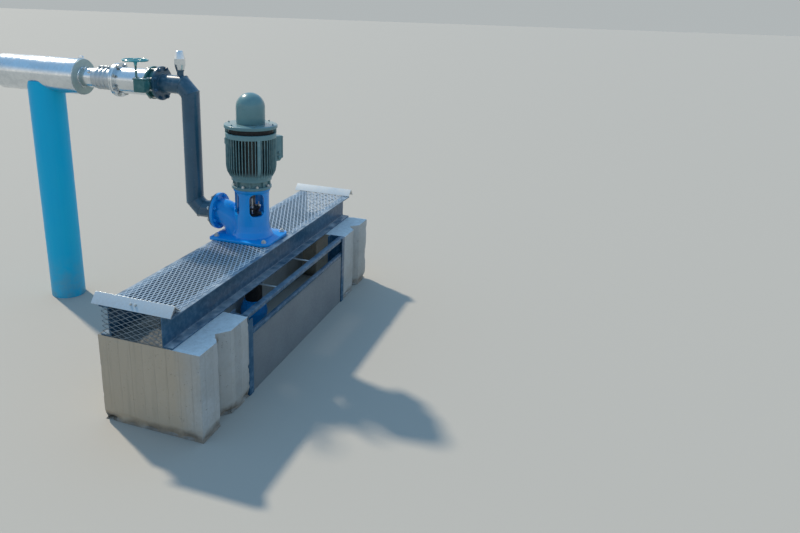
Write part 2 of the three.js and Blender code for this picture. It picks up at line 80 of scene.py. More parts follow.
# sRGB hex to linear
def colour(code):
    channels = [int(code[i:i + 2], 16) / 255 for i in (0, 2, 4)]
    linear = [c / 12.92 if c <= 0.04045 else ((c + 0.055) / 1.055) ** 2.4 for c in channels]
    return (*linear, 1)


# a node tree that a finish is painted in, with the tint as it stands so far
class Paint:
    def __init__(self, tree):
        self.tree = tree

    # links a socket, or sets it to a value or to a colour given as hex
    def feed(self, socket, value):
        if isinstance(value, bpy.types.NodeSocket):
            self.tree.links.new(value, socket)
        elif value is not None:
            socket.default_value = colour(value) if isinstance(value, str) else value

    def node(self, kind, inputs, **settings):
        made = self.tree.nodes.new("ShaderNode" + kind)
        for key, value in settings.items():
            setattr(made, key, value)
        for key, value in inputs.items():
            self.feed(made.inputs[key], value)
        return made

    def maths(self, operation, first, second=0.0):
        return self.node("Math", {0: first, 1: second}, operation=operation).outputs[0]

    def times(self, first, second):
        return self.maths('MULTIPLY', first, second)

    def remap(self, value, low, high, toLow=0, toHigh=1):
        return self.node("MapRange", {"Value": value, "From Min": low, "From Max": high, "To Min": toLow,
                                      "To Max": toHigh}).outputs["Result"]

    def split(self, vector):
        return self.node("SeparateXYZ", {"Vector": vector}).outputs

    def normals(self):
        return self.split(self.node("NewGeometry", {}).outputs["Normal"])

    def stretched(self, scale):
        return self.node("Mapping", {"Vector": self.place, "Scale": scale}).outputs["Vector"]

    def grain(self, perMetre, detail):
        texture = self.node("TexNoise", {"Vector": self.place, "Scale": perMetre, "Detail": detail})
        return texture.outputs["Fac"]

    # cloudy patches, perMetre of them to a metre; low and high set how hard their rims are
    def cloud(self, perMetre, detail=4, low=0.4, high=0.6, roughness=0.55, place=None):
        texture = self.node("TexNoise", {"Vector": self.place if place is None else place, "Scale": perMetre,
                                         "Detail": detail, "Roughness": roughness})
        return self.remap(texture.outputs["Fac"], low, high)

    def blend(self, factor, first, second):
        return self.node("Mix", {0: factor, 6: first, 7: second}, data_type='RGBA').outputs[2]

    # lays a colour over the tint where the mask is bright
    def stain(self, over, mask, amount=None):
        self.tint = self.blend(mask if amount is None else self.times(mask, amount), self.tint, over)

    def bumped(self, height, millimetres, strength, under=None):
        return self.node("Bump", {"Height": height, "Distance": millimetres / 1000, "Strength": strength,
                                  "Normal": under}).outputs["Normal"]

    def finish(self, roughness, normal=None, fixed=None):
        shader = self.node("BsdfPrincipled", {"Base Color": self.tint, "Roughness": roughness,
                                              "Normal": normal, **(fixed or {})})
        self.node("OutputMaterial", {"Surface": shader.outputs[0]})
        return self.made


def newPaint(name):
    made = bpy.data.materials.new(name)
    made.use_nodes = True
    made.node_tree.nodes.clear()
    paint = Paint(made.node_tree)
    paint.made = made
    paint.place = paint.node("TexCoord", {}).outputs["Object"]
    return paint


# brushed and sprayed enamel: even colour, fine orange peel, paler where it faces up as dust and painted
# sheen, lighter on sharp arrises as wear and painted highlight
def enamel(name, main, shade, worn, roughness, dustAndSheen, coat, castGrain=0.0, gaps=None):
    paint = newPaint(name)
    paint.tint = paint.blend(paint.cloud(2.6, low=0.35, high=0.68), main, shade)
    paint.stain(worn, paint.cloud(38, 6, 0.6, 0.75), 0.12)
    upward = paint.remap(paint.normals()["Z"], 0.55, 0.98)
    # upward faces paler: dust, and where strong, as on the deck channels, a painted sheen of sunlight
    paint.stain("b9c3ca", paint.times(upward, paint.cloud(9, 7, 0.3, 0.75)), dustAndSheen)
    # lighter on sharp arrises: wear, and on the fin tips a painted highlight
    arris = paint.remap(paint.node("NewGeometry", {}).outputs["Pointiness"], 0.52, 0.6)
    paint.stain(worn, paint.times(arris, paint.cloud(22, 5, 0.45, 0.62)), 0.55)
    if gaps:
        # painted shade, near black, in the deep gaps between the cooling fins
        x, y, z = paint.split(paint.place)
        across, inland = (paint.maths('SUBTRACT', side, middle) for side, middle in zip((x, y), gaps["axis"]))
        squares = paint.maths('ADD', paint.times(across, across), paint.times(inland, inland))
        inside = paint.remap(paint.maths('SQRT', squares), *gaps["radii"], 1, 0)
        paint.stain("060c0f", paint.times(inside, paint.remap(z, *gaps["heights"])), 0.93)
    gloss = paint.remap(paint.cloud(14, 5, 0.3, 0.7), 0, 1, roughness - 0.03, roughness + 0.06)
    normal = paint.bumped(paint.grain(420, 2), 0.25, 0.5)
    if castGrain:
        normal = paint.bumped(paint.grain(130, 5), castGrain, 0.8, normal)
    fixed = {"Coat Weight": coat, "Coat Roughness": 0.2, "Specular IOR Level": 0.15}
    return paint.finish(gloss, normal, fixed)


# hot-dip zinc: dull spangle, a satin metal with grey runs and specks of dirt
def zinc(name, bright, dull, roughness, metal=1.0, spangle=34):
    paint = newPaint(name)
    cells = paint.node("TexVoronoi", {"Vector": paint.place, "Scale": spangle}).outputs["Color"]
    grey = paint.node("SeparateColor", {"Color": cells}).outputs["Red"]
    paint.tint = paint.blend(paint.remap(grey, 0, 1, 0, 0.3), bright, dull)
    runs = paint.cloud(3.2, 6, 0.38, 0.72)
    paint.stain(dull, runs, 0.4)
    paint.stain("8c887f", paint.cloud(55, 6, 0.62, 0.74), 0.2)
    gloss = paint.remap(paint.maths('ADD', paint.times(grey, 0.5), paint.times(runs, 0.5)), 0, 1,
                        roughness - 0.05, roughness + 0.1)
    return paint.finish(gloss, paint.bumped(paint.grain(60, 3), 0.2, 0.3), {"Metallic": metal})


# formwork concrete: upright board marks, air holes, soil and wet stains near the water, with painted light on
# the open tops and on the end faces
formwork = {"main": "b2b8ba", "shade": "979d9f", "fleck": "878780", "boardTone": "c8cac8", "pit": "4c4d4a",
            "paleTopLight": "e2ebf1", "coveredTop": "4a4e4d", "soil": "a08f74", "endFaceWarmLight": "b5a48b", "wet": "65594a",
            "drip": "7f7c70", "boardsPerMetre": 9.6}


def castConcrete():
    paint = newPaint("cast concrete")
    x, y, z = paint.split(paint.place)
    paint.tint = paint.blend(paint.cloud(2.1, 6, 0.33, 0.7), formwork["main"], formwork["shade"])
    fine = paint.cloud(27, 8, 0.35, 0.7, 0.7)
    paint.stain(formwork["fleck"], fine, 0.35)
    # boards about 100 mm wide, each with its own tone and a ridge where it meets the next
    boards = paint.times(paint.maths('ADD', x, y), formwork["boardsPerMetre"])
    tone = paint.node("TexWhiteNoise", {"W": paint.maths('FLOOR', boards)}, noise_dimensions='1D')
    paint.stain(formwork["boardTone"], paint.remap(tone.outputs["Value"], 0, 1, 0, 0.25))
    joint = paint.maths('ABSOLUTE', paint.maths('SUBTRACT', paint.maths('FRACT', boards), 0.5))
    upright = paint.remap(paint.maths('ABSOLUTE', paint.normals()["Z"]), 0.3, 0.7, 1, 0)
    ridge = paint.times(paint.remap(joint, 0.47, 0.5), upright)
    pits = paint.node("TexVoronoi", {"Vector": paint.place, "Scale": 46}).outputs["Distance"]
    holes = paint.times(paint.remap(pits, 0.12, 0.2, 1, 0), paint.cloud(12, low=0.5, high=0.6))
    paint.stain(formwork["pit"], holes, 0.7)
    # painted pale light on the tops in the open, and darker on the tops under the deck
    paleTopLight = paint.times(paint.remap(paint.normals()["Z"], 0.7, 0.95), paint.remap(fine, 0, 1, 0.85, 0.5))
    covered = paint.remap(y, originY + 0.02, originY + 0.08)
    paint.stain(paint.blend(covered, formwork["paleTopLight"], formwork["coveredTop"]), paleTopLight)
    # soil low down, and a painted warm light over the end faces, more so towards the bank
    wander = paint.cloud(6, 6, 0.25, 0.75)
    level = paint.maths('SUBTRACT', z, paint.times(wander, 0.09))
    soil = paint.times(paint.remap(level, 0.05, 0.62, 1, 0), paint.cloud(4, low=0.25, high=0.7))
    paint.stain(formwork["soil"], soil, 0.3)
    # painted warm light on the end faces, none at the river face and full inland
    ended = paint.remap(paint.maths('ABSOLUTE', paint.normals()["X"]), 0.8, 0.95)
    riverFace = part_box("near_wing_wall")[0].y
    inland = paint.maths('SUBTRACT', y, paint.times(wander, 0.08))
    landward = paint.remap(inland, riverFace - 0.08, riverFace + 0.2)
    paint.stain(formwork["endFaceWarmLight"], paint.times(ended, landward), 0.75)
    # wet and brown at the foot, with a ragged upper edge, and faint drips below the arrises
    wet = paint.remap(level, -0.04, 0.035, 1, 0)
    paint.stain(formwork["wet"], wet, 0.75)
    drip = paint.times(paint.cloud(1, 3, 0.55, 0.75, place=paint.stretched((26, 26, 1.6))), upright)
    paint.stain(formwork["drip"], drip, 0.22)
    normal = paint.bumped(paint.grain(190, 7), 1.6, 0.8)
    normal = paint.bumped(paint.maths('SUBTRACT', ridge, paint.times(holes, 1.5)), 2.2, 0.9, normal)
    return paint.finish(paint.remap(wet, 0, 1, 0.92, 0.45), normal, {"Specular IOR Level": 0.35})


# extruded blue PVC: smooth satin skin with faint drawn lines, fading and dried mud at the foot
def pvc():
    paint = newPaint("blue pvc pipe")
    lines = paint.cloud(1, 3, 0.3, 0.7, place=paint.stretched((55, 55, 1.2)))
    paint.tint = paint.blend(paint.times(lines, 0.3), "00aede", "06bbe2")
    faded = paint.cloud(2.2, 5, 0.4, 0.75)
    paint.stain("1fb9d8", faded, 0.3)
    height = paint.split(paint.place)["Z"]
    mud = paint.times(paint.remap(height, 0.02, 0.5, 1, 0), paint.cloud(8, 7, 0.3, 0.65))
    paint.stain("8f8471", mud, 0.4)
    gloss = paint.remap(paint.maths('ADD', faded, mud), 0, 1.4, 0.34, 0.62)
    return paint.finish(gloss, paint.bumped(lines, 0.3, 0.3), {"IOR": 1.53, "Specular IOR Level": 0.2})


# small machined and cast pieces: a cloudy tone and a fine grain
def plainMetal(name, bright, dark, roughness, metal):
    paint = newPaint(name)
    cloud = paint.cloud(60, 6, 0.35, 0.7)
    paint.tint = paint.blend(cloud, bright, dark)
    gloss = paint.remap(cloud, 0, 1, roughness, roughness + 0.15)
    return paint.finish(gloss, paint.bumped(paint.grain(350, 3), 0.2, 0.4), {"Metallic": metal})


# the gaps between the motor's cooling fins, in metres about the pump's axis
finGaps = {"axis": (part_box("pump_shaft")[0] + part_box("pump_shaft")[1]) / 2, "radii": (0.209, 0.227),
           "heights": [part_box("motor_frame")[0].z + lift for lift in (0.05, 0.1)]}
looks = {
    "concrete": castConcrete(),
    "navy": enamel("navy enamel", "21506f", "1d4864", "66839a", 0.32, 0.4, 0.3),
    # the deck channels' tops painted pale at full strength: a painted sheen of sun on the top flanges
    "deckNavy": enamel("navy enamel, painted pale sheen on top", "21506f", "1d4864", "66839a", 0.32, 1.0, 0.3),
    "riser": enamel("navy pipe enamel", "28566f", "224c63", "748b9c", 0.3, 0.1, 0.9),
    "blue": enamel("gloss blue enamel", "0094e4", "0085d2", "1098e2", 0.3, 0.0, 0.6, castGrain=0.3),
    "green": enamel("grey green machine enamel", "618a90", "567b82", "92acab", 0.3, 0.18, 0.6, castGrain=0.2),
    # the finned frame: a lighter copy of the green as painted light on the fins, and painted shade in the
    # gaps
    "fins": enamel("machine enamel with painted shade in the gaps", "6d949a", "5f848b", "92acab", 0.3, 0.1, 0.4,
                   gaps=finGaps),
    "valve": enamel("dark green enamel", "387779", "2c6366", "76999a", 0.3, 0.2, 0.5, castGrain=0.5),
    "teal": enamel("teal enamel", "3ea5ae", "318e97", "98c9ca", 0.24, 0.15, 0.8),
    "zinc": zinc("hot dip zinc", "e4e9ec", "bcc4ca", 0.2),
    "satinZinc": zinc("satin zinc", "c6cccf", "a1a8ac", 0.36, 0.7, 60),
    "shadedZinc": zinc("zinc with painted shade", "a9bab8", "8b9e9c", 0.5, 0.35, 60),
    "meshZinc": zinc("zinc on expanded steel", "dde3e8", "b3bbc2", 0.4, 0.6, 60),
    "endMesh": zinc("weathered expanded steel", "6d7a83", "47535a", 0.5, 0.4, 60),
    "screen": zinc("weathered screen wire", "9aa3aa", "7d868d", 0.5, 0.3, 80),
    "pvc": pvc(),
    "cast": plainMetal("black cast iron", "23262a", "141619", 0.5, 0.3),
    "steel": plainMetal("ground steel", "d2d4d6", "a9abac", 0.22, 1.0),
    "shaft": plainMetal("oiled steel", "777b7e", "55585a", 0.3, 0.9),
    "fixing": plainMetal("zinc plated fixings", "d9dbd9", "aeaca4", 0.32, 0.55),
}
print("materials made")


def alone(piece):
    bpy.ops.object.select_all(action='DESELECT')
    piece.select_set(True)
    bpy.context.view_layer.objects.active = piece


def settle(piece):
    alone(piece)
    bpy.ops.object.transform_apply(location=True, rotation=True, scale=True)
    return piece


def modified(piece, kind, **settings):
    alone(piece)
    bpy.ops.object.modifier_add(type=kind)
    modifier = piece.modifiers[-1]
    for key, value in settings.items():
        setattr(modifier, key, value)
    bpy.ops.object.modifier_apply(modifier=modifier.name)
    return piece


def bevelled(piece, width, segments=2, angle=35):
    return modified(piece, 'BEVEL', width=width / 1000, segments=segments, limit_method='ANGLE',
                    angle_limit=math.radians(angle), use_clamp_overlap=True)


# corners given as (u, v, radius) become arcs
def rounded(points, closed=True, steps=4):
    out = []
    for i, (u, v, *rest) in enumerate(points):
        radius = rest[0] if rest else 0
        if not radius or (not closed and i in (0, len(points) - 1)):
            out.append((u, v))
            continue
        here = Vector((u, v))
        before = (Vector(points[i - 1][:2]) - here).normalized()
        after = (Vector(points[(i + 1) % len(points)][:2]) - here).normalized()
        half = before.angle(after) / 2
        reach = radius / math.tan(half)
        centre = here + (before + after).normalized() * (radius / math.sin(half))
        start, end = here + before * reach - centre, here + after * reach - centre
        sweep = start.angle_signed(end)
        for k in range(steps + 1):
            angle = -sweep * k / steps
            cosine, sine = math.cos(angle), math.sin(angle)
            swung = Vector((start.x * cosine - start.y * sine, start.x * sine + start.y * cosine))
            out.append(tuple(centre + swung))
    return out


# the corners of a rectangle, its lower and upper pairs rounded
def oblong(u, v, lower=0, upper=0):
    return [(u[0], v[0], lower), (u[1], v[0], lower), (u[1], v[1], upper), (u[0], v[1], upper)]


# a wire drawn point by point, left in edit mode
def drawn(name, points):
    bpy.ops.object.select_all(action='DESELECT')
    bpy.ops.mesh.primitive_plane_add(size=0.001, location=(0, 0, 0))
    piece = bpy.context.object
    piece.name = name
    bpy.ops.object.mode_set(mode='EDIT')
    bpy.ops.mesh.select_all(action='SELECT')
    bpy.ops.mesh.merge(type='CENTER')
    bpy.ops.transform.translate(value=points[0])
    for before, after in zip(points, points[1:]):
        bpy.ops.mesh.extrude_region_move(TRANSFORM_OT_translate={"value": Vector(after) - Vector(before)})
    return piece


def tidied():
    bpy.ops.mesh.select_all(action='SELECT')
    bpy.ops.mesh.remove_doubles(threshold=1e-5)
    bpy.ops.mesh.normals_make_consistent(inside=False)
    bpy.ops.object.mode_set(mode='OBJECT')


# spun round an axis from (radius, distance along, corner radius) points
def turned(name, axis, centre, profile, steps=48):
    points = [Vector((radius / 1000, 0, along / 1000)) for radius, along in rounded(profile, closed=False)]
    piece = drawn(name, points)
    bpy.ops.mesh.select_all(action='SELECT')
    bpy.ops.mesh.spin(steps=steps, angle=2 * math.pi, center=(0, 0, 0), axis=(0, 0, 1))
    tidied()
    piece.rotation_euler = {"X": (0, math.pi / 2, 0), "Y": (-math.pi / 2, 0, 0), "Z": (0, 0, 0)}[axis]
    piece.location = at(*centre)
    return settle(piece)


# a plain round of one radius between two distances, its two rims rounded
def disc(name, axis, centre, radius, start, end, steps, first=0, last=0):
    profile = [(0, start), (radius, start, first), (radius, end, last), (0, end)]
    return turned(name, axis, centre, profile, steps)


# an outline in the plane across an axis, pulled along it
def pulled(name, axis, outline, start, end, steps=4):
    order = {"X": (2, 0, 1), "Y": (0, 2, 1), "Z": (0, 1, 2)}[axis]
    corners = [(u, v, start) for u, v in rounded(outline, steps=steps)]
    piece = drawn(name, [at(*(corner[i] for i in order)) for corner in corners])
    bpy.ops.mesh.select_all(action='SELECT')
    bpy.ops.mesh.edge_face_add()
    travel = Vector([float(axis == letter) for letter in "XYZ"])
    bpy.ops.mesh.extrude_region_move(TRANSFORM_OT_translate={"value": travel * (end - start) / 1000})
    tidied()
    return settle(piece)


def block(name, low, high, bevel=2, segments=2):
    centre = [(a + b) / 2 for a, b in zip(low, high)]
    bpy.ops.object.select_all(action='DESELECT')
    bpy.ops.mesh.primitive_cube_add(size=1, location=at(*centre))
    piece = bpy.context.object
    piece.name = name
    piece.scale = [(b - a) / 1000 for a, b in zip(low, high)]
    settle(piece)
    return bevelled(piece, bevel, segments) if bevel else piece


# a round bar between two points, centred on them and longer by twice the overlap
def bar(name, start, end, radius, sides, up='Y', over=0):
    start, end = Vector(start), Vector(end)
    bpy.ops.object.select_all(action='DESELECT')
    bpy.ops.mesh.primitive_cylinder_add(vertices=sides, radius=radius / 1000,
                                        depth=((end - start).length + 2 * over) / 1000)
    piece = bpy.context.object
    piece.name = name
    piece.rotation_euler = (end - start).to_track_quat('Z', up).to_euler()
    piece.location = at(*((start + end) / 2))
    return settle(piece)


def joined(name, pieces):
    bpy.ops.object.select_all(action='DESELECT')
    for piece in pieces:
        piece.select_set(True)
    bpy.context.view_layer.objects.active = pieces[0]
    bpy.ops.object.join()
    pieces[0].name = name
    return pieces[0]


def moved(piece, matrix):
    piece.data.transform(matrix)
    return piece


def copied(template, matrix, name):
    twin = template.copy()
    twin.data = template.data.copy()
    twin.name = name
    bpy.context.collection.objects.link(twin)
    return moved(twin, matrix)


def discard(piece):
    bpy.data.objects.remove(piece, do_unlink=True)


# copies of a template in one piece; the template itself goes
def scattered(template, matrices, name):
    piece = joined(name, [copied(template, matrix, name) for matrix in matrices])
    discard(template)
    return piece


def cut(piece, tool):
    modified(piece, 'BOOLEAN', object=tool, operation='DIFFERENCE', solver='EXACT')
    discard(tool)
    return piece


# rides, takes its finish and stands for its CAD nodes
def dressed(piece, look, replaced=(), body="station", smooth=32):
    alone(piece)
    if smooth:
        bpy.ops.object.shade_smooth_by_angle(angle=math.radians(smooth))
    piece.data.materials.clear()
    piece.data.materials.append(looks[look])
    if replaced:
        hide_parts(*replaced)
    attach(piece, body)
    return piece


# low and high corners of a node in the station's own millimetres
def span(node):
    low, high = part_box(node)
    shift = Vector((originX, originY, 0))
    return (low - shift) * 1000, (high - shift) * 1000


def middleOf(node):
    low, high = span(node)
    return (low + high) / 2


def radiusOf(node):
    low, high = span(node)
    return (high.x - low.x) / 2


# concrete, cast against boards and washed out at the water line; sway to fray are noise sizes per metre
concrete = {"octree": 8, "arris": 4, "chip": 15, "wander": 2.5, "pock": 0.9, "wear": 1.5, "wash": 34,
            "washHeight": 85, "outerBlock": 250, "pierInner": 1080, "pierBack": 110, "grooveWidth": 192,
            "grooveDepth": 81, "sway": 3.1, "knock": 9, "crumb": 31, "fray": 40, "ragged": (9, 9, 14)}


# noise from 0 to 1
def rough(place):
    return 0.5 + 0.5 * noise.noise(place)


def weathered(name, outline, parts):
    low, high = span(parts[0])
    piece = pulled(name, 'Z', outline, low.z, high.z)
    bevelled(piece, concrete["arris"], 1)
    modified(piece, 'REMESH', mode='SHARP', octree_depth=concrete["octree"], scale=0.99,
             use_remove_disconnected=False)
    mesh = piece.data
    normals = [vertex.normal.copy() for vertex in mesh.vertices]
    # how sharply the skin turns at each vertex
    bends = [0.0] * len(normals)
    for edge in mesh.edges:
        a, b = edge.vertices
        turn = (normals[a] - normals[b]).length
        bends[a] = max(bends[a], turn)
        bends[b] = max(bends[b], turn)
    lows = [min(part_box(part)[0][i] for part in parts) for i in range(3)]
    highs = [max(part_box(part)[1][i] for part in parts) for i in range(3)]
    for vertex, normal, bend in zip(mesh.vertices, normals, bends):
        place = vertex.co
        depth = concrete["wander"] * rough(place * concrete["sway"])
        depth += concrete["pock"] * rough(place * concrete["crumb"])
        knock = max(0, noise.noise(place * concrete["knock"]) - 0.12) * 3
        chip = concrete["chip"] * knock * (0.6 + noise.noise(place * concrete["fray"]))
        depth += min(bend, 0.8) * (concrete["wear"] + chip)
        foot = max(0, 1 - place.z * 1000 / concrete["washHeight"])
        ragged = rough(Vector([value * size for value, size in zip(place, concrete["ragged"])]))
        depth += concrete["wash"] * min(1, foot * 1.6) * ragged ** 1.5 * (abs(normal.z) < 0.5)
        worn = place - normal * (max(depth, 0) / 1000)
        vertex.co = [min(max(value, lows[i]), highs[i]) for i, value in enumerate(worn)]
    return dressed(piece, "concrete", parts, smooth=38)


def makeConcrete():
    near, far = span("near_wing_wall")[0], span("far_wing_wall")[1]
    back = span("back_wall")
    pier, pierBack = concrete["pierInner"], concrete["pierBack"]
    grooveFrom = far.x - concrete["outerBlock"]
    grooveTo = grooveFrom - concrete["grooveWidth"]
    half = [(pier, near.y), (grooveTo, near.y),
            ((grooveFrom + grooveTo) / 2, near.y + concrete["grooveDepth"]),
            (grooveFrom, near.y), (far.x, near.y), (far.x, back[1].y)]
    inside = [(grooveFrom, back[0].y), (grooveFrom, pierBack), (pier, pierBack)]
    outline = half + [(-x, y) for x, y in reversed(half)] + [(-x, y) for x, y in reversed(inside)] + inside
    weathered("concreteBox", outline, ["near_wing_wall", "far_wing_wall", "back_wall"])


makeConcrete()
print("concrete made")


# section of a rolled channel, its web at the back and its flanges out to the tip
def channelOutline(size, back, inner, tip, low, high, flange):
    return [(back, low, size["heel"]), (back, high, size["heel"]), (tip, high, 1),
            (tip, high - flange, size["toe"]), (inner, high - flange, size["root"]),
            (inner, low + flange, size["root"]), (tip, low + flange, size["toe"]), (tip, low, 1)]


# deck channels, their flanges pointing away from the sump
channel = {"web": 9, "flange": 12, "root": 12, "toe": 5, "heel": 2}


def makeChannels():
    for name, node, bank in (("riverChannel", "river_channel", False), ("bankChannel", "bank_channel", True)):
        low, high = span(node)
        tip, back = (high.y, low.y) if bank else (low.y, high.y)
        inner = back + (channel["web"] if bank else -channel["web"])
        outline = channelOutline(channel, back, inner, tip, low.z, high.z, channel["flange"])
        dressed(pulled(name, 'X', outline, low.x, high.x), "deckNavy", [node])


makeChannels()

# galvanised angles, ridge up, their toes on the channels and the mesh
endAngle = {"leg": 97, "thickness": 8, "root": 9, "toe": 4, "ridge": 1.5, "tilt": 48, "heads": (0.457, 0.517),
            "headSize": 10}


def angleOutline(low, high, inward):
    leg, thick, toe = endAngle["leg"], endAngle["thickness"], endAngle["toe"]
    shape = rounded([(0, 0), (leg, 0, endAngle["ridge"]), (leg, -leg), (leg - thick, -leg, toe),
                     (leg - thick, -thick, endAngle["root"]), (0, -thick, toe)])
    cosine, sine = math.cos(math.radians(endAngle["tilt"])), math.sin(math.radians(endAngle["tilt"]))
    tilted = [(u * cosine - v * sine, u * sine + v * cosine) for u, v in shape]
    foot = min(v for u, v in tilted)
    edge = low.x if inward > 0 else high.x
    fit = (high.x - low.x) / max(u for u, v in tilted)
    return [(edge + inward * u * fit, low.z + (v - foot)) for u, v in tilted]


def makeEndAngles():
    for name, node, inward in (("nearEndAngle", "near_end_angle", 1), ("farEndAngle", "far_end_angle", -1)):
        low, high = span(node)
        piece = pulled(name, 'Y', angleOutline(low, high, inward), low.y, high.y)
        dressed(piece, "satinZinc", [node], smooth=25)


makeEndAngles()

# expanded metal, strand by strand: each strand is a leaning strip that swings to meet the next one
deckMetal = {"longWay": 94, "shortWay": 38, "width": 7, "thickness": 2.4, "lean": 27, "bond": 13}
endMetal = {"longWay": 92, "shortWay": 37, "width": 5, "thickness": 2.2, "lean": 18, "bond": 11}


# the strands run from start for a length; place() puts (along, across, depth) in the station
def expandedMetal(name, metal, start, length, across, depths, place):
    count = int((across[1] - across[0]) // (metal["shortWay"] / 2))
    spacing = (across[1] - across[0]) / count
    lean = math.radians(metal["lean"])
    wide, thick = metal["width"] / 2, metal["thickness"] / 2
    corners = [(u * math.cos(lean) - v * math.sin(lean), u * math.sin(lean) + v * math.cos(lean))
               for u, v in ((-wide, -thick), (wide, -thick), (wide, thick), (-wide, thick))]
    swing = (spacing - 2 * max(u for u, v in corners)) / 2
    middle = sum(depths) / 2
    pitch = length / round(length / metal["longWay"])
    # a strand lies along its bond, crosses over, and lies along the next bond
    stops = [0]
    while stops[-1] < length - 1:
        last, bond = stops[-1], metal["bond"] / 2
        stops += [last + bond, last + pitch / 2 - bond, last + pitch / 2]
    sides = [-1 if k % 6 in (0, 1, 5) else 1 for k in range(len(stops))]
    rows = []
    step = place(0, 2 * spacing, 0) - place(0, 0, 0)
    for flip, number in ((1, count - count // 2), (-1, count // 2)):
        line = across[0] + spacing * (0.5 if flip > 0 else 1.5)
        strand = drawn(name, [place(start, line + flip * sides[0] * swing + u, middle + v)
                              for u, v in corners])
        bpy.ops.mesh.select_all(action='SELECT')
        bpy.ops.mesh.edge_face_add()
        path = [place(start + stop, line + flip * side * swing, middle) for stop, side in zip(stops, sides)]
        for last, here in zip(path, path[1:]):
            bpy.ops.mesh.extrude_region_move(TRANSFORM_OT_translate={"value": here - last})
        tidied()
        rows += [copied(strand, Matrix.Translation(step * i), name) for i in range(number)]
        discard(strand)
    return joined(name, rows)


def makeMeshes():
    for name, node in (("nearDeckMesh", "near_deck_mesh"), ("farDeckMesh", "far_deck_mesh")):
        low, high = span(node)
        piece = expandedMetal(name, deckMetal, low.x, high.x - low.x, (low.y, high.y), (low.z, high.z), at)
        dressed(piece, "meshZinc", [node], smooth=0)
    for name, node in (("nearEndMesh", "near_end_mesh"), ("farEndMesh", "far_end_mesh")):
        low, high = span(node)
        piece = expandedMetal(name, endMetal, low.y, high.y - low.y, (low.z, high.z), (low.x, high.x),
                              lambda u, v, w: at(w, u, v))
        dressed(piece, "endMesh", [node], smooth=0)


makeMeshes()
print("deck made")

# guides: channels standing on end against the piers, the near one notched for the rail
guide = {"steel": 8, "root": 8, "toe": 3, "heel": 2, "cut": 50}


def makeGuides():
    steel = guide["steel"]
    for side, name, node in ((-1, "nearGuidePost", "near_guide_post"), (1, "farGuidePost", "far_guide_post")):
        low, high = span(node)
        web, tip = (low.x, high.x) if side < 0 else (high.x, low.x)
        inner = web - steel * side
        outline = channelOutline(guide, web, inner, tip, low.y, high.y, steel)
        piece = pulled(name, 'Z', outline, low.z, high.z)
        if side < 0:
            notch = block("notch", (inner + 1, low.y - 5, high.z - guide["cut"]),
                          (tip + 5, low.y + steel + 1, high.z + 5), 0)
            cut(piece, notch)
        dressed(piece, "navy", [node])


makeGuides()

# rails of square tube with rolled corners
rail = {"wall": 4, "corner": 7}


def makeRails():
    wall, corner = rail["wall"], rail["corner"]
    for name, node in (("upperRail", "upper_rail"), ("screenTopRail", "screen_top_rail")):
        low, high = span(node)
        shell = oblong((low.y, high.y), (low.z, high.z), corner, corner)
        inside = corner - wall
        hollow = oblong((low.y + wall, high.y - wall), (low.z + wall, high.z - wall), inside, inside)
        tube = pulled(name, 'X', shell, low.x, high.x)
        cut(tube, pulled("hollow", 'X', hollow, low.x - 5, high.x + 5))
        dressed(tube, "navy", [node])


makeRails()


# flat straps between rail and deck
def makeStruts():
    for name, node in (("nearRailStrut", "near_rail_strut"), ("farRailStrut", "far_rail_strut")):
        low, high = span(node)
        dressed(block(name, low, high, 1.5), "satinZinc", [node])


makeStruts()

# screen: crossed wires on a frame of flat bar
screen = {"wire": 1.2, "pitch": 4.2, "frame": 26, "bar": 5, "inset": 3, "edge": 4, "short": 2}


def makeScreen():
    low, high = span("screen_panel")
    radius, edge, short = screen["wire"], screen["edge"], screen["short"]
    y = low.y + screen["inset"]
    over = y + 2 * radius
    layers = []
    left, foot = low.x + edge, low.z + edge
    for name, start, end, reach, along in (
            ("uprights", (left, y, low.z + short), (left, y, high.z - short), high.x - low.x, (1, 0, 0)),
            ("acrosses", (low.x + short, over, foot), (high.x - short, over, foot), high.z - low.z,
             (0, 0, 1))):
        room = reach - 2 * edge
        count = int(room // screen["pitch"])
        step = room / count / 1000
        spots = [Matrix.Translation(Vector(along) * (i * step)) for i in range(count + 1)]
        layers.append(scattered(bar("wire", start, end, radius, 6), spots, name))
    dressed(joined("screenWire", layers), "screen", ["screen_panel"], smooth=60)
    wide, front = screen["frame"], high.y - screen["bar"]
    bars = [block("flat", (x, front, low.z), (x + wide, high.y, high.z), 0.8) for x in (low.x, high.x - wide)]
    bars.append(block("flat", (low.x, front, low.z), (high.x, high.y, low.z + wide), 0.8))
    dressed(joined("screenFrame", bars), "navy", ["screen_panel"])


makeScreen()
print("river side made")

pumpX, pumpY, _ = middleOf("pump_shaft")
pumpCentre = (pumpX, pumpY, 0)
headLow, headHigh = span("discharge_head")

# nut on a washer with its stud end: sides, radius and height from the seat for a bolt of size 1
fastener = {"parts": ((20, 1.02, 0, 0.14), (6, 0.93, 0.14, 0.86), (14, 0.5, 0.8, 1.22)), "bevel": 0.07}


def boltTemplate(size):
    parts = []
    for sides, radius, low, high in fastener["parts"]:
        bpy.ops.object.select_all(action='DESELECT')
        bpy.ops.mesh.primitive_cylinder_add(vertices=sides, radius=radius * size / 1000,
                                            depth=(high - low) * size / 1000,
                                            location=(0, 0, (low + high) / 2 * size / 1000))
        parts.append(bevelled(settle(bpy.context.object), fastener["bevel"] * size, 1))
    return joined("template", parts)


def facing(place, direction, spin=0.0):
    turn = Vector(direction).to_track_quat('Z', 'Y').to_matrix().to_4x4()
    return Matrix.Translation(at(*place)) @ turn @ Matrix.Rotation(spin, 4, 'Z')


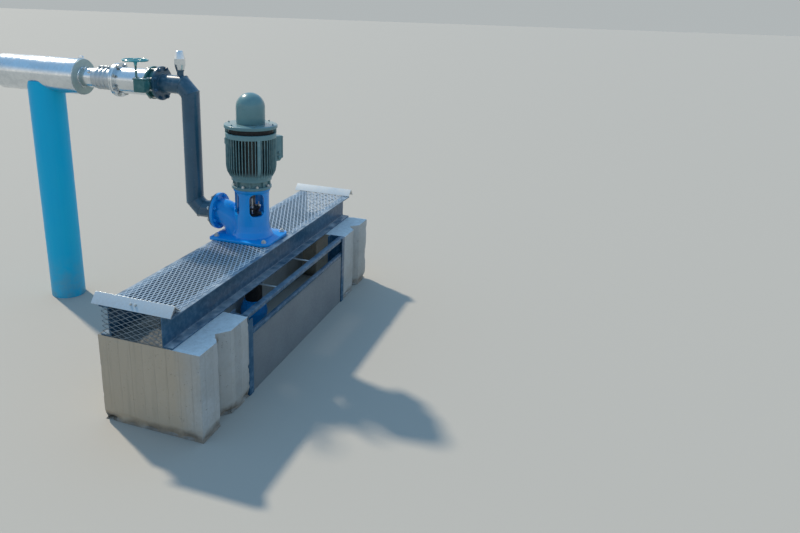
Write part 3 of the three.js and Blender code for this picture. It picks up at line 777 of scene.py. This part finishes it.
def circleOf(centre, axis, radius, count, phase, direction):
    spots = []
    for i in range(count):
        angle = math.radians(phase) + 2 * math.pi * i / count
        u, v = radius * math.cos(angle), radius * math.sin(angle)
        offset = (u, 0, v) if axis == 'Y' else (u, v, 0)
        spots.append(facing([c + o for c, o in zip(centre, offset)], direction, angle))
    return spots


def bolts(name, size, spots, look="fixing", body="station"):
    return dressed(scattered(boltTemplate(size), spots, name), look, body=body, smooth=30)


# eight seats round a pipe flange, facing the river or, with way 1, the bank
def flangeSpots(y, z, radius, way):
    return circleOf((pumpX, y, z), 'Y', radius, 8, 22.5, (0, way, 0))


# a turn about the pump's axis, in degrees
def around(angle):
    middle = Matrix.Translation(at(*pumpCentre))
    return middle @ Matrix.Rotation(math.radians(angle), 4, 'Z') @ middle.inverted()


# two nuts on the outer leg of the near angle
def makeAngleScrews():
    low, high = span("near_end_angle")
    cosine, sine = math.cos(math.radians(endAngle["tilt"])), math.sin(math.radians(endAngle["tilt"]))
    x = low.x + endAngle["leg"] / 2 * cosine
    z = low.z + endAngle["thickness"] * cosine + endAngle["leg"] / 2 * sine
    spots = [facing((x, low.y + part * (high.y - low.y), z), (-sine, 0, cosine))
             for part in endAngle["heads"]]
    bolts("angleScrews", endAngle["headSize"], spots)


makeAngleScrews()

# discharge head: base plate, swept elbow and windowed barrel, cast and welded into one body
head = {"base": 28, "barrel": 160, "hollow": 144, "floor": 1201, "top": 1467, "lip": 172, "foot": 192,
        "collar": (168, 62), "throat": 118, "plate": (245, 60, 660), "plateCorner": 76, "plateTip": 24,
        "outlet": 1190, "neck": 122, "bend": 182, "flange": 174, "flangeThickness": 30,
        "window": (138, 1215, 1430), "windowCorner": 48, "windowsAt": (45, 135), "grain": 5,
        "boltCircle": 147, "boltSize": 20, "baseBolt": 24, "baseBolts": (190, 115, 605)}
baseTop = headLow.z + head["base"]


# the elbow, from inside the outlet flange down into the plate
def makeElbow(seat):
    inner = headHigh.y - 8
    bpy.ops.object.select_all(action='DESELECT')
    bpy.ops.mesh.primitive_circle_add(vertices=48, radius=head["neck"] / 1000, fill_type='NGON',
                                      location=at(pumpX, inner, head["outlet"]), rotation=(math.pi / 2, 0, 0))
    elbow = bpy.context.object
    bpy.ops.object.mode_set(mode='EDIT')
    bpy.ops.mesh.select_all(action='SELECT')
    bpy.ops.mesh.extrude_region_move(TRANSFORM_OT_translate={"value": (0, (seat - inner) / 1000, 0)})
    bpy.ops.mesh.spin(steps=14, angle=math.pi / 2, center=at(pumpX, seat, head["outlet"] - head["bend"]),
                      axis=(-1, 0, 0))
    bpy.ops.mesh.extrude_region_move(TRANSFORM_OT_translate={"value": (0, 0, -0.02)})
    tidied()
    return settle(elbow)


def makeHead():
    top, lip, foot = head["top"], head["lip"], head["foot"]
    seat = headHigh.y - head["flangeThickness"]
    barrel = turned("barrel", 'Z', pumpCentre, [
        (0, headLow.z + 4), (foot, headLow.z + 4), (foot, baseTop + 10, 10),
        (head["collar"][0], baseTop + head["collar"][1], 40), (head["barrel"], baseTop + head["throat"], 60),
        (head["barrel"], top - 34, 12), (lip, top - 24, 6), (lip, top), (0, top)], 64)
    body = joined("body", [barrel, makeElbow(seat)])
    modified(body, 'REMESH', mode='VOXEL', voxel_size=head["grain"] / 1000)
    modified(body, 'SMOOTH', factor=0.5, iterations=9)
    cut(body, disc("hollow", 'Z', pumpCentre, head["hollow"], head["floor"], top + 5, 64, first=12))
    wide, low, high = head["window"]
    slot = oblong((-wide / 2, wide / 2), (low, high), head["windowCorner"], head["windowCorner"])
    for angle in head["windowsAt"]:
        cutter = pulled("cutter", 'X', slot, -300, 300, 8)
        cutter.location = -at(0, 0, 0)
        settle(cutter)
        cutter.rotation_euler = (0, 0, math.radians(angle))
        cutter.location = at(*pumpCentre)
        cut(body, settle(cutter))
    half, front, back = head["plate"]
    plate = pulled("plate", 'Z', oblong((pumpX - half, pumpX + half), (front, back), head["plateCorner"],
                                        head["plateTip"]), headLow.z, baseTop, 10)
    bevelled(plate, 4)
    flange = disc("flange", 'Y', (pumpX, 0, head["outlet"]), head["flange"], seat, headHigh.y, 64, 5, 2)
    casting = joined("dischargeHead", [body, plate, flange])
    dressed(casting, "blue", ["discharge_head"], smooth=40)
    bolts("outletBolts", head["boltSize"], flangeSpots(seat, head["outlet"], head["boltCircle"], -1), "blue")
    out, front, back = head["baseBolts"]
    corners = [(pumpX + x, y, baseTop) for x in (-out, out) for y in (front, back)]
    bolts("baseBolts", head["baseBolt"], [facing(spot, (0, 0, 1), 0.4) for spot in corners])


makeHead()
print("head made")

# stuffing box with its gland, two long and two short studs, and the shaft that runs through it
gland = {"bore": 33, "boss": 88, "barrel": 62, "follower": 78, "stud": 12, "studCircle": 62,
         "studs": ((28, 1372), (208, 1372), (118, None), (298, None)), "shortStud": 46, "nut": 20}
shaft = {"relief": 2, "reliefTo": 96, "keyWidth": 10, "keyDepth": 5, "keyLength": 110}


def makeGland():
    low, high = span("packing_box")
    z, bore, barrel, follower = low.z, gland["bore"], gland["barrel"], gland["follower"]
    box = turned("packingBox", 'Z', pumpCentre, [
        (bore, z), (gland["boss"], z, 3), (gland["boss"], z + 14, 5), (barrel, z + 20, 8),
        (barrel, z + 56, 4), (follower, z + 62, 3), (follower, high.z, 3), (44, high.z), (40, high.z),
        (bore, high.z - 4), (bore, z)], 40)
    dressed(box, "cast", ["packing_box"])
    studs, spots = [], []
    for angle, top in gland["studs"]:
        x = pumpX + gland["studCircle"] * math.cos(math.radians(angle))
        y = pumpY + gland["studCircle"] * math.sin(math.radians(angle))
        tip = top or high.z + gland["shortStud"]
        studs.append(bar("stud", (x, y, z + 20), (x, y, tip), gland["stud"] / 2, 6))
        spots.append(facing((x, y, high.z), (0, 0, 1), 0.3))
    dressed(joined("glandStuds", studs), "steel", smooth=60)
    bolts("glandNuts", gland["nut"], spots, "steel")


def makeShaft():
    low, high = span("pump_shaft")
    radius, relief, half = radiusOf("pump_shaft"), shaft["reliefTo"], shaft["keyWidth"] / 2
    rod = turned("pumpShaft", 'Z', pumpCentre, [
        (0, low.z), (radius - shaft["relief"], low.z), (radius - shaft["relief"], low.z + relief, 1),
        (radius, low.z + relief + 3), (radius, high.z), (0, high.z)], 40)
    keyway = block("keyway", (pumpX - half, pumpY - radius - 4, high.z - shaft["keyLength"]),
                   (pumpX + half, pumpY - radius + shaft["keyDepth"], high.z + 4), 0)
    dressed(cut(rod, keyway), "shaft", ["pump_shaft"], body="shaft")


makeGland()
makeShaft()

# vertical motor: flange ring, neck, finned frame, fan cover and rain canopy
motor = {"ring": 184, "ringHeight": 24, "neck": 150, "web": (10, 24), "webs": 8, "ringBolt": 16,
         "ringBolts": 168, "fins": 48, "fin": 6, "finTip": 231, "core": 204, "skirt": 186, "wideFin": 30,
         "wideFinAt": 226, "bandFrom": 1937, "slotCore": 198, "slot": 42, "cover": 242,
         "pillars": (118, 28, 298), "pillar": 32, "coverScrew": 8, "coverScrews": 212, "dome": 129}


def makeMotorNeck():
    low, high = span("motor_neck")
    outer, neck, base = motor["ring"], motor["neck"], low.z + motor["ringHeight"]
    ring = turned("ring", 'Z', pumpCentre, [
        (0, low.z), (outer, low.z, 2), (outer, base, 4), (neck, base + 2, 5), (neck, high.z),
        (0, high.z)], 64)
    thick, reach = motor["web"]
    web = pulled("web", 'X', oblong((pumpY - thick / 2, pumpY + thick / 2), (base - 2, high.z)),
                 pumpX + neck - 4, pumpX + neck + reach)
    bevelled(web, 1.5, 1)
    webs = scattered(web, [around(22.5 + i * 360 / motor["webs"]) for i in range(motor["webs"])], "webs")
    dressed(joined("motorNeck", [ring, webs]), "green", ["motor_neck"])
    bolts("motorFlangeBolts", motor["ringBolt"],
          circleOf((pumpX, pumpY, base), 'Z', motor["ringBolts"], 8, 0, (0, 0, 1)))


def makeMotorFrame():
    low, high = span("motor_frame")
    z, band, tip, core, skirt = low.z, motor["bandFrom"], motor["finTip"], motor["core"], motor["skirt"]
    barrel = turned("core", 'Z', pumpCentre, [
        (0, z), (skirt, z, 3), (skirt + 1, z + 18, 8), (core + 2, z + 58, 30), (core, z + 90, 20),
        (core, band - 2, 4), (tip, band, 2), (tip, high.z - 3, 3), (tip - 6, high.z), (0, high.z)], 96)
    outline = [(core - 6, z + 34), (core - 3, z + 40), (tip - 8, z + 84, 40), (tip, z + 130, 40),
               (tip, band + 3), (core - 6, band + 3)]

    def rib(name, thick, bevel, segments):
        section = [(pumpX + u, *rest) for u, *rest in outline]
        return bevelled(pulled(name, 'Y', section, pumpY - thick / 2, pumpY + thick / 2), bevel, segments)

    angles = [i * 360 / motor["fins"] for i in range(motor["fins"])]
    fins = scattered(rib("fin", motor["fin"], 1.2, 1), [around(angle) for angle in angles], "fins")
    # one broad plain rib, for the cable duct
    duct = moved(rib("rib", motor["wideFin"], 3, 2), around(motor["wideFinAt"]))
    dressed(joined("motorFrame", [barrel, fins, duct]), "fins", ["motor_frame"], smooth=28)


def makeMotorCover():
    low, high = span("motor_top_cover")
    rim, tip, under = motor["cover"], motor["finTip"], low.z + motor["slot"]
    lid = turned("disc", 'Z', pumpCentre, [
        (0, under), (rim - 8, under, 2), (rim, under + 3, 3), (rim, high.z - 8, 6), (rim - 14, high.z - 4, 8),
        (150, high.z - 1.5), (0, high.z)], 96)
    # the fan drum behind the air slot is dressed in black cast iron: painted shade in the slot
    drum = disc("fanDrum", 'Z', pumpCentre, motor["slotCore"], low.z, under + 2, 64)
    dressed(drum, "cast", ["motor_top_cover"])
    half = motor["pillar"] / 2
    pillar = pulled("pillar", 'X', oblong((pumpY - half, pumpY + half), (low.z - 2, under + 4)),
                    pumpX + tip - 31, pumpX + tip)
    bevelled(pillar, 2)
    pillars = scattered(pillar, [around(angle) for angle in motor["pillars"]], "pillars")
    dressed(joined("motorTopCover", [lid, pillars]), "green", ["motor_top_cover"])
    spots = circleOf((pumpX, pumpY, high.z - 3), 'Z', motor["coverScrews"], 6, 36, (0, 0, 1))
    bolts("coverScrews", motor["coverScrew"], spots, "green")


def makeMotorCanopy():
    low, high = span("motor_canopy")
    radius, rise = radiusOf("motor_canopy"), motor["dome"]
    shoulder = high.z - rise
    angles = [math.radians(degrees) for degrees in range(0, 90, 8)]
    dome = [(radius * math.cos(angle), shoulder + rise * math.sin(angle)) for angle in angles]
    canopy = turned("motorCanopy", 'Z', pumpCentre, [
        (0, low.z), (radius - 1, low.z, 1), (radius - 1, low.z + 14), (radius, low.z + 16),
        (radius, shoulder - 6), *dome, (0, high.z)], 72)
    dressed(canopy, "green", ["motor_canopy"], smooth=40)


makeMotorNeck()
makeMotorFrame()
makeMotorCover()
makeMotorCanopy()

# terminal box on the river side, with two blanked cable entries
terminal = {"turn": -28, "half": 70, "depth": 79, "entries": (1727, 1770), "entryIn": 32, "screw": 7,
            "inset": 12}


def makeTerminalBox():
    low, high = span("terminal_box")
    turn, wide, inset = around(terminal["turn"]), terminal["half"], terminal["inset"]
    inner = pumpX + motor["finTip"]
    outer = inner + terminal["depth"]
    # side view: deep box above, its floor rising outwards
    shell = pulled("box", 'Y', [
        (inner - 24, low.z + 2, 6), (inner + 44, low.z + 2, 10), (outer - 12, low.z + 26, 12),
        (outer - 12, high.z, 6), (inner - 24, high.z, 6)], pumpY - wide + 2, pumpY + wide - 2)
    lid = pulled("lid", 'X', oblong((pumpY - wide, pumpY + wide), (low.z + 24, high.z - 1), 10, 8),
                 outer - 11, outer - 1)
    pieces = [bevelled(shell, 2.5), bevelled(lid, 2.5)]
    side = pumpY - wide
    for height in terminal["entries"]:
        pieces.append(turned("entry", 'Y', (inner + terminal["entryIn"], 0, height), [
            (0, side - 11), (14, side - 11, 2), (14, side - 4), (19, side - 3, 2), (19, side + 6),
            (0, side + 6)], 10))
    dressed(moved(joined("terminalBox", pieces), turn), "green", ["terminal_box"])
    screws = [turn @ facing((outer - 1, pumpY + y, z), (1, 0, 0)) for y in (inset - wide, wide - inset)
              for z in (low.z + 38, high.z - 14)]
    bolts("boxScrews", terminal["screw"], screws, "green")


makeTerminalBox()

# cast lifting eyes under the band
lifting = {"root": 222, "tip": 240, "half": 9, "at": (112, 328)}


def makeLiftingEyes():
    root, tip = pumpX + lifting["root"], pumpX + lifting["tip"]
    eye = pulled("eye", 'Y', [(root, 1868), (tip, 1862, 8), (tip, 1922, 10), (root, 1930)],
                 pumpY - lifting["half"], pumpY + lifting["half"])
    bevelled(eye, 3)
    eyes = scattered(eye, [around(angle) for angle in lifting["at"]], "liftingEyes")
    dressed(eyes, "green")


makeLiftingEyes()
print("motor made")


# pump column and bowl below the deck
def makeWetEnd():
    low, high = span("pump_column")
    column = disc("pumpColumn", 'Z', pumpCentre, radiusOf("pump_column"), low.z, high.z, 48)
    dressed(column, "cast", ["pump_column"])
    low, high = span("pump_bowl")
    radius, foot, top = radiusOf("pump_bowl"), low.z, high.z
    bowl = turned("pumpBowl", 'Z', pumpCentre, [
        (0, foot), (radius, foot, 3), (radius, foot + 22, 3), (radius - 12, foot + 26, 4),
        (radius - 16, foot + 120, 60), (radius - 4, foot + 210, 60), (radius - 16, top - 56, 20),
        (radius - 30, top - 24, 10), (98, top - 22, 3), (98, top, 3), (0, top)], 56)
    dressed(bowl, "blue", ["pump_bowl"], smooth=40)


makeWetEnd()

# riser: pipe cut and welded at mitres, with a bead at each
riser = {"radius": 84, "upright": 945, "bend": 78, "weld": 3.5, "flangeWeld": 5, "footCircle": 147,
         "topCircle": 137, "boltSize": 19, "sides": 56, "overlap": 200}


# a length of pipe cut square to each (point, direction) plane
def leg(start, end, planes):
    piece = bar("leg", start, end, riser["radius"], riser["sides"], 'X', riser["overlap"])
    bpy.ops.object.mode_set(mode='EDIT')
    for point, normal in planes:
        bpy.ops.mesh.select_all(action='SELECT')
        bpy.ops.mesh.bisect(plane_co=at(*point), plane_no=normal, use_fill=True, clear_outer=True)
    bpy.ops.object.mode_set(mode='OBJECT')
    return piece


# a ring of round section
def bead(name, point, normal, radius, weld, stretch=1.0):
    bpy.ops.object.select_all(action='DESELECT')
    bpy.ops.mesh.primitive_torus_add(major_radius=radius / 1000, minor_radius=weld / 1000, major_segments=64,
                                     minor_segments=8)
    piece = bpy.context.object
    piece.name = name
    piece.scale = (1, stretch, 1)
    settle(piece)
    piece.rotation_euler = Vector(normal).to_track_quat('Z', 'Y').to_euler()
    piece.location = at(*point)
    return settle(piece)


# a bead round a pipe that runs along Y
def pipeWeld(y, z, radius, weld):
    return bead("bead", (pumpX, y, z), (0, 1, 0), radius, weld)


def makeRiser():
    low, high = span("riser_pipe")
    radius, upright, bend = riser["radius"], riser["upright"], riser["bend"]
    top, bottom = high.z - radius, low.z + radius
    points = [Vector((pumpX, y, z)) for y, z in (
        (low.y, bottom), (upright - bend, bottom), (upright, bottom + bend), (upright, top - bend),
        (upright + bend, top), (high.y, top))]
    ways = [(after - before).normalized() for before, after in zip(points, points[1:])]
    cuts = [(before + after).normalized() for before, after in zip(ways[:1] + ways, ways + ways[-1:])]
    pieces = [leg(points[i], points[i + 1], [(points[i], -cuts[i]), (points[i + 1], cuts[i + 1])])
              for i in range(len(ways))]
    stretch = 1 / math.cos(math.radians(22.5))
    pieces += [bead("bead", point, normal, radius, riser["weld"], stretch)
               for point, normal in zip(points[1:-1], cuts[1:-1])]
    dressed(joined("riserPipe", pieces), "riser", ["riser_pipe"], smooth=35)

    low, high = span("riser_bottom_flange")
    ring = disc("ring", 'Y', (pumpX, 0, bottom), radiusOf("riser_bottom_flange"), low.y, high.y, 64, 2, 3)
    weld = pipeWeld(high.y, bottom, radius + 2, riser["flangeWeld"])
    dressed(joined("riserFootFlange", [ring, weld]), "riser", ["riser_bottom_flange"])
    bolts("riserFootBolts", riser["boltSize"], flangeSpots(high.y, bottom, riser["footCircle"], 1))

    low, high = span("riser_top_flange")
    rim = radiusOf("riser_top_flange")
    ring = turned("ring", 'Y', (pumpX, 0, top), [
        (0, low.y), (rim, low.y, 3), (rim, high.y - 2, 2), (110, high.y), (0, high.y)], 64)
    weld = pipeWeld(low.y, top, radius + 2, riser["flangeWeld"])
    dressed(joined("riserTopFlange", [ring, weld]), "riser", ["riser_top_flange"])
    bolts("riserFlangeBolts", riser["boltSize"], flangeSpots(low.y, top, riser["topCircle"], -1), "navy")
    return top


mainZ = makeRiser()
mainAxis = (pumpX, 0, mainZ)
print("riser made")

# butterfly valve clamped by long studs
valve = {"liner": 116, "stud": 8, "neck": 28, "flange": 150, "flangeThickness": 24, "gap": 0.3,
         "boltSize": 18}


def makeValve():
    low, high = span("butterfly_valve")
    liner, rim = valve["liner"], radiusOf("butterfly_valve")
    body = turned("butterflyValve", 'Y', mainAxis, [
        (0, low.y), (liner, low.y), (liner, low.y + 5), (rim, low.y + 8, 4), (rim, high.y - 8, 4),
        (liner, high.y - 5), (liner, high.y), (0, high.y)], 64)
    dressed(body, "valve", ["butterfly_valve"], smooth=38)
    seats = flangeSpots(high.y, mainZ, riser["topCircle"], 1)
    stud = bar("stud", (pumpX, low.y - 3, mainZ), (pumpX, high.y + 3, mainZ), valve["stud"], 6)
    home = Matrix.Translation(-at(pumpX, high.y, mainZ))
    spots = [Matrix.Translation(seat.to_translation()) @ home for seat in seats]
    studs = scattered(stud, spots, "valveStuds")
    dressed(studs, "fixing", smooth=60)
    back = high.y + valve["gap"] + valve["flangeThickness"]
    bolts("valveBolts", valve["boltSize"], flangeSpots(back, mainZ, riser["topCircle"], 1))


makeValve()

# the valve's gearbox on its near side
gearbox = {"width": 88, "lid": 13, "collar": 26, "boss": 44, "screw": 9, "inset": 12}


def makeGearbox():
    low, high = span("valve_gearbox")
    wheelAt, wide, inset = middleOf("handwheel"), gearbox["width"], gearbox["inset"]
    shelf, root = high.z - gearbox["lid"], low.x + wide
    case = block("case", (low.x + 3, low.y + 4, low.z), (root - 3, high.y - 4, shelf + 2), 8, 3)
    lid = block("lid", (low.x, low.y, shelf), (root, high.y, high.z - 2), 2.5)
    collar = disc("collar", 'Z', (wheelAt.x, wheelAt.y, 0), gearbox["collar"], shelf, high.z - 1, 32, last=2)
    neck = turned("neck", 'X', (0, middleOf("butterfly_valve").y, mainZ), [
        (0, root - 8), (gearbox["boss"], root - 8), (gearbox["boss"], root + 8, 4),
        (valve["neck"], root + 12, 3), (valve["neck"], high.x), (0, high.x)], 32)
    dressed(joined("valveGearbox", [case, lid, collar, neck]), "valve", ["valve_gearbox"])
    spots = [facing((x, y, high.z - 2), (0, 0, 1)) for x in (low.x + inset, root - inset)
             for y in (low.y + inset, high.y - inset)]
    bolts("gearboxScrews", gearbox["screw"], spots)


makeGearbox()

# handwheel on its spindle: round rim, three flat spokes and a coned hub
wheel = {"rim": 110, "tube": 10, "drop": 14, "spoke": (16, 10), "firstSpoke": 0.5, "hub": 22, "spindle": 10,
         "nut": 11}


def makeHandwheel():
    low, high = span("handwheel")
    x, y, _ = middleOf("handwheel")
    z, hub, spindle = high.z - wheel["drop"], wheel["hub"], wheel["spindle"]
    rim = bead("rim", (x, y, z), (0, 0, 1), wheel["rim"], wheel["tube"])
    modified(rim, 'SUBSURF', levels=1, render_levels=1)
    core = turned("hub", 'Z', (x, y, 0), [
        (0, z - 46), (spindle + 3, z - 46), (spindle + 4, z - 30, 8), (hub, z - 12, 5), (hub, z + 10, 3),
        (14, z + 12), (0, z + 12)], 32)
    wide, thick = wheel["spoke"]
    spoke = pulled("spoke", 'X', oblong((y - wide / 2, y + wide / 2), (z - thick / 2, z + thick / 2), 3, 3),
                   x + 8, x + wheel["rim"])
    middle = Matrix.Translation(at(x, y, 0))
    turns = [Matrix.Rotation(wheel["firstSpoke"] + 2 * math.pi * i / 3, 4, 'Z') for i in range(3)]
    spokes = scattered(spoke, [middle @ turn @ middle.inverted() for turn in turns], "spokes")
    casting = joined("wheelCasting", [rim, core, spokes])
    dressed(casting, "teal", ["handwheel"], body="handwheel", smooth=50)
    stem = disc("spindle", 'Z', (x, y, 0), spindle, low.z, z - 44, 24)
    dressed(stem, "valve", body="handwheel")
    bolts("wheelNut", wheel["nut"], [facing((x, y, z + 1), (0, 0, 1))], body="handwheel")


makeHandwheel()
print("valve made")

# galvanised run: spool, flange, ribbed coupling, stub and header with a flat end
run = {"spool": 122, "boltCircle": 140, "boltSize": 18, "sleeve": 94, "rib": 10, "ribs": (1832, 1878, 1924),
       "ribWidth": 18, "clamp": (1818, 1942), "grip": 14, "stub": 93, "plate": 12,
       "bosses": ((2085, 112, 16, 14), (2008, 138, 19, 20)), "weld": 5, "wall": 6}


def makeSpool():
    low, high = span("valve_spool")
    radius, back = run["spool"], low.y + valve["flangeThickness"]
    spool = disc("spool", 'Y', mainAxis, radius, back - 4, high.y, 72)
    weld = pipeWeld(back, mainZ, radius + 1, 4)
    dressed(joined("valveSpool", [spool, weld]), "zinc", ["valve_spool"])
    counter = disc("valveCounterFlange", 'Y', mainAxis, valve["flange"], low.y, back, 64, 2, 2)
    dressed(counter, "valve", ["valve_spool"])

    # a pair of flanges with a gasket groove between them
    low, high = span("spool_flange")
    y, rim = low.y, radiusOf("spool_flange")
    ring = turned("ring", 'Y', mainAxis, [
        (0, y), (rim, y, 3), (rim, y + 20, 3), (rim - 8, y + 22, 2), (rim - 8, y + 27, 2), (rim, y + 29, 3),
        (rim, y + 40, 5), (rim - 12, high.y, 3), (0, high.y)], 72)
    dressed(ring, "zinc", ["spool_flange"])
    bolts("spoolBolts", run["boltSize"], flangeSpots(y, mainZ, run["boltCircle"], -1))


def makeSleeve():
    low, high = span("coupling_sleeve")
    base, outer, grip = run["sleeve"], run["sleeve"] + run["rib"], run["grip"]
    profile = [(0, low.y), (base, low.y)]
    for start in run["ribs"]:
        end = start + run["ribWidth"]
        profile += [(base, start - 5, 4), (outer, start + 2, 4), (outer, end - 2, 4), (base, end + 5, 4)]
    sleeve = turned("sleeve", 'Y', mainAxis, profile + [(base, high.y), (0, high.y)], 72)
    # clamp bar lying along the tops of the ribs
    ridge = mainZ + outer
    start, end = run["clamp"]
    clamp = turned("clamp", 'Y', (pumpX, 0, ridge + 7), [
        (0, start), (6, start, 2), (9, start + 8, 2), (9, end - 8, 2), (6, end, 2), (0, end)], 20)
    grips = [block("grip", (pumpX - grip, y, ridge - 3), (pumpX + grip, y + run["ribWidth"], ridge + 16), 3)
             for y in run["ribs"]]
    dressed(joined("couplingSleeve", [sleeve, clamp, *grips]), "satinZinc", ["coupling_sleeve"],
            smooth=38)


def makeHeader():
    low, high = span("header_reducer")
    big, small, face = radiusOf("header_reducer"), run["stub"], high.y - run["plate"]
    pieces = [disc("stub", 'Y', mainAxis, small, low.y, face + 2, 72),
              pipeWeld(face, mainZ, small + 2, run["weld"])]
    middle = Matrix.Translation(at(*mainAxis))
    for y, angle, radius, proud in run["bosses"]:
        root, tip = mainZ + small - 20, mainZ + small + proud
        boss = turned("boss", 'Z', (pumpX, y, 0), [
            (0, root), (radius, root), (radius, tip, 3), (radius - 6, tip), (0, tip - 3)], 28)
        tilt = Matrix.Rotation(math.radians(90 - angle), 4, 'Y')
        pieces.append(moved(boss, middle @ tilt @ middle.inverted()))
    dressed(joined("headerStub", pieces), "zinc", ["header_reducer"])
    # the flat end is dressed in a darker grey-green zinc: painted shade on the face turned from the sun
    end = disc("headerEnd", 'Y', mainAxis, big - 2, face, high.y, 96, first=3)
    dressed(end, "shadedZinc", ["header_reducer"])

    low, high = span("header_pipe")
    radius = radiusOf("header_pipe")
    bore, crown = radius - run["wall"], mainZ + radius
    pipe = turned("pipe", 'Y', mainAxis, [
        (bore, low.y), (radius, low.y, 1), (radius, high.y, 1), (bore, high.y), (bore, low.y)], 96)
    seam = pipeWeld(low.y + 2, mainZ, radius - 1, 4)
    lug = pulled("lug", 'X', oblong((low.y + 34, low.y + 94), (crown - 40, crown + 22), 0, 24), pumpX + 56,
                 pumpX + 74)
    bevelled(lug, 3)
    dressed(joined("headerPipe", [pipe, seam, lug]), "zinc", ["header_pipe"], smooth=40)


makeSpool()
makeSleeve()
makeHeader()


# blue post, its top cut to the round of the header
def makePost():
    low, high = span("pipe_support_post")
    x, y, _ = middleOf("pipe_support_post")
    post = disc("pipeSupportPost", 'Z', (x, y, 0), radiusOf("pipe_support_post"), low.z, high.z, 96, first=1)
    saddle = disc("saddle", 'Y', mainAxis, radiusOf("header_pipe") + 0.3, y - 400, y + 400, 96)
    dressed(cut(post, saddle), "pvc", ["pipe_support_post"], smooth=40)


makePost()

# air valve on a short painted stub
airValve = {"stub": 30, "shoulder": 42, "body": 50, "crown": 34, "sides": 8}


def makeAirValve():
    x, y, _ = middleOf("air_valve")
    pipeTop, top = mainZ + riser["radius"], span("air_valve")[1].z
    stub, shoulder, body, crown = (airValve[key] for key in ("stub", "shoulder", "body", "crown"))
    neck = turned("neck", 'Z', (x, y, 0), [
        (0, pipeTop - 30), (stub, pipeTop - 30), (stub, pipeTop + 34, 2), (stub + 6, pipeTop + 38, 2),
        (stub + 6, pipeTop + 54, 2), (0, pipeTop + 54)], 32)
    weld = bead("bead", (x, y, pipeTop - 2), (0, 0, 1), stub + 1, 4)
    dressed(joined("airStub", [neck, weld]), "riser", ["air_valve"])
    cap = turned("airValve", 'Z', (x, y, 0), [
        (0, pipeTop + 50), (shoulder - 4, pipeTop + 50, 3), (shoulder, pipeTop + 60, 4),
        (body, pipeTop + 100, 8), (body, pipeTop + 150, 10), (crown, top - 4, 6), (crown - 8, top),
        (0, top)], airValve["sides"])
    bevelled(cap, 2, 2, 20)
    dressed(cap, "zinc", ["air_valve"], smooth=25)


makeAirValve()
print("pipework made")

# floor and light
studio = {"floor": 240, "floorColour": "b0aca4", "sunAngle": 3, "sunPower": 3.4, "sunColour": "fff1dc",
          "towardsSun": (0.338, 0.641, 0.689), "sky": "7ba2c4", "horizon": "d6d3cd", "skyline": "9da2a3",
          "haze": (0.1, 0.45), "mist": (0.03, 0.1), "skyPower": 1.3}


def makeStudio():
    bpy.ops.object.select_all(action='DESELECT')
    bpy.ops.mesh.primitive_plane_add(size=studio["floor"], location=(0, 0, 0))
    floor = bpy.context.object
    floor.name = "floor"
    paint = newPaint("plain floor")
    paint.tint = studio["floorColour"]
    floor.data.materials.append(paint.finish(0.9))
    bpy.ops.object.light_add(type='SUN', location=(0, 0, 8))
    sun = bpy.context.object
    sun.rotation_euler = Vector(studio["towardsSun"]).to_track_quat('Z', 'Y').to_euler()
    sun.data.angle = math.radians(studio["sunAngle"])
    sun.data.energy = studio["sunPower"]
    sun.data.color = colour(studio["sunColour"])[:3]
    world = bpy.data.worlds.new("soft sky")
    bpy.context.scene.world = world
    world.use_nodes = True
    # like the floor at the horizon, pale above it, a soft blue overhead
    paint = Paint(world.node_tree)
    height = paint.split(paint.node("TexCoord", {}).outputs["Generated"])["Z"]
    pale = paint.blend(paint.remap(height, *studio["mist"]), studio["skyline"], studio["horizon"])
    tint = paint.blend(paint.remap(height, *studio["haze"]), pale, studio["sky"])
    background = world.node_tree.nodes["Background"]
    paint.feed(background.inputs["Color"], tint)
    paint.feed(background.inputs["Strength"], studio["skyPower"])
    bpy.context.scene.view_settings.view_transform = 'Standard'


makeStudio()
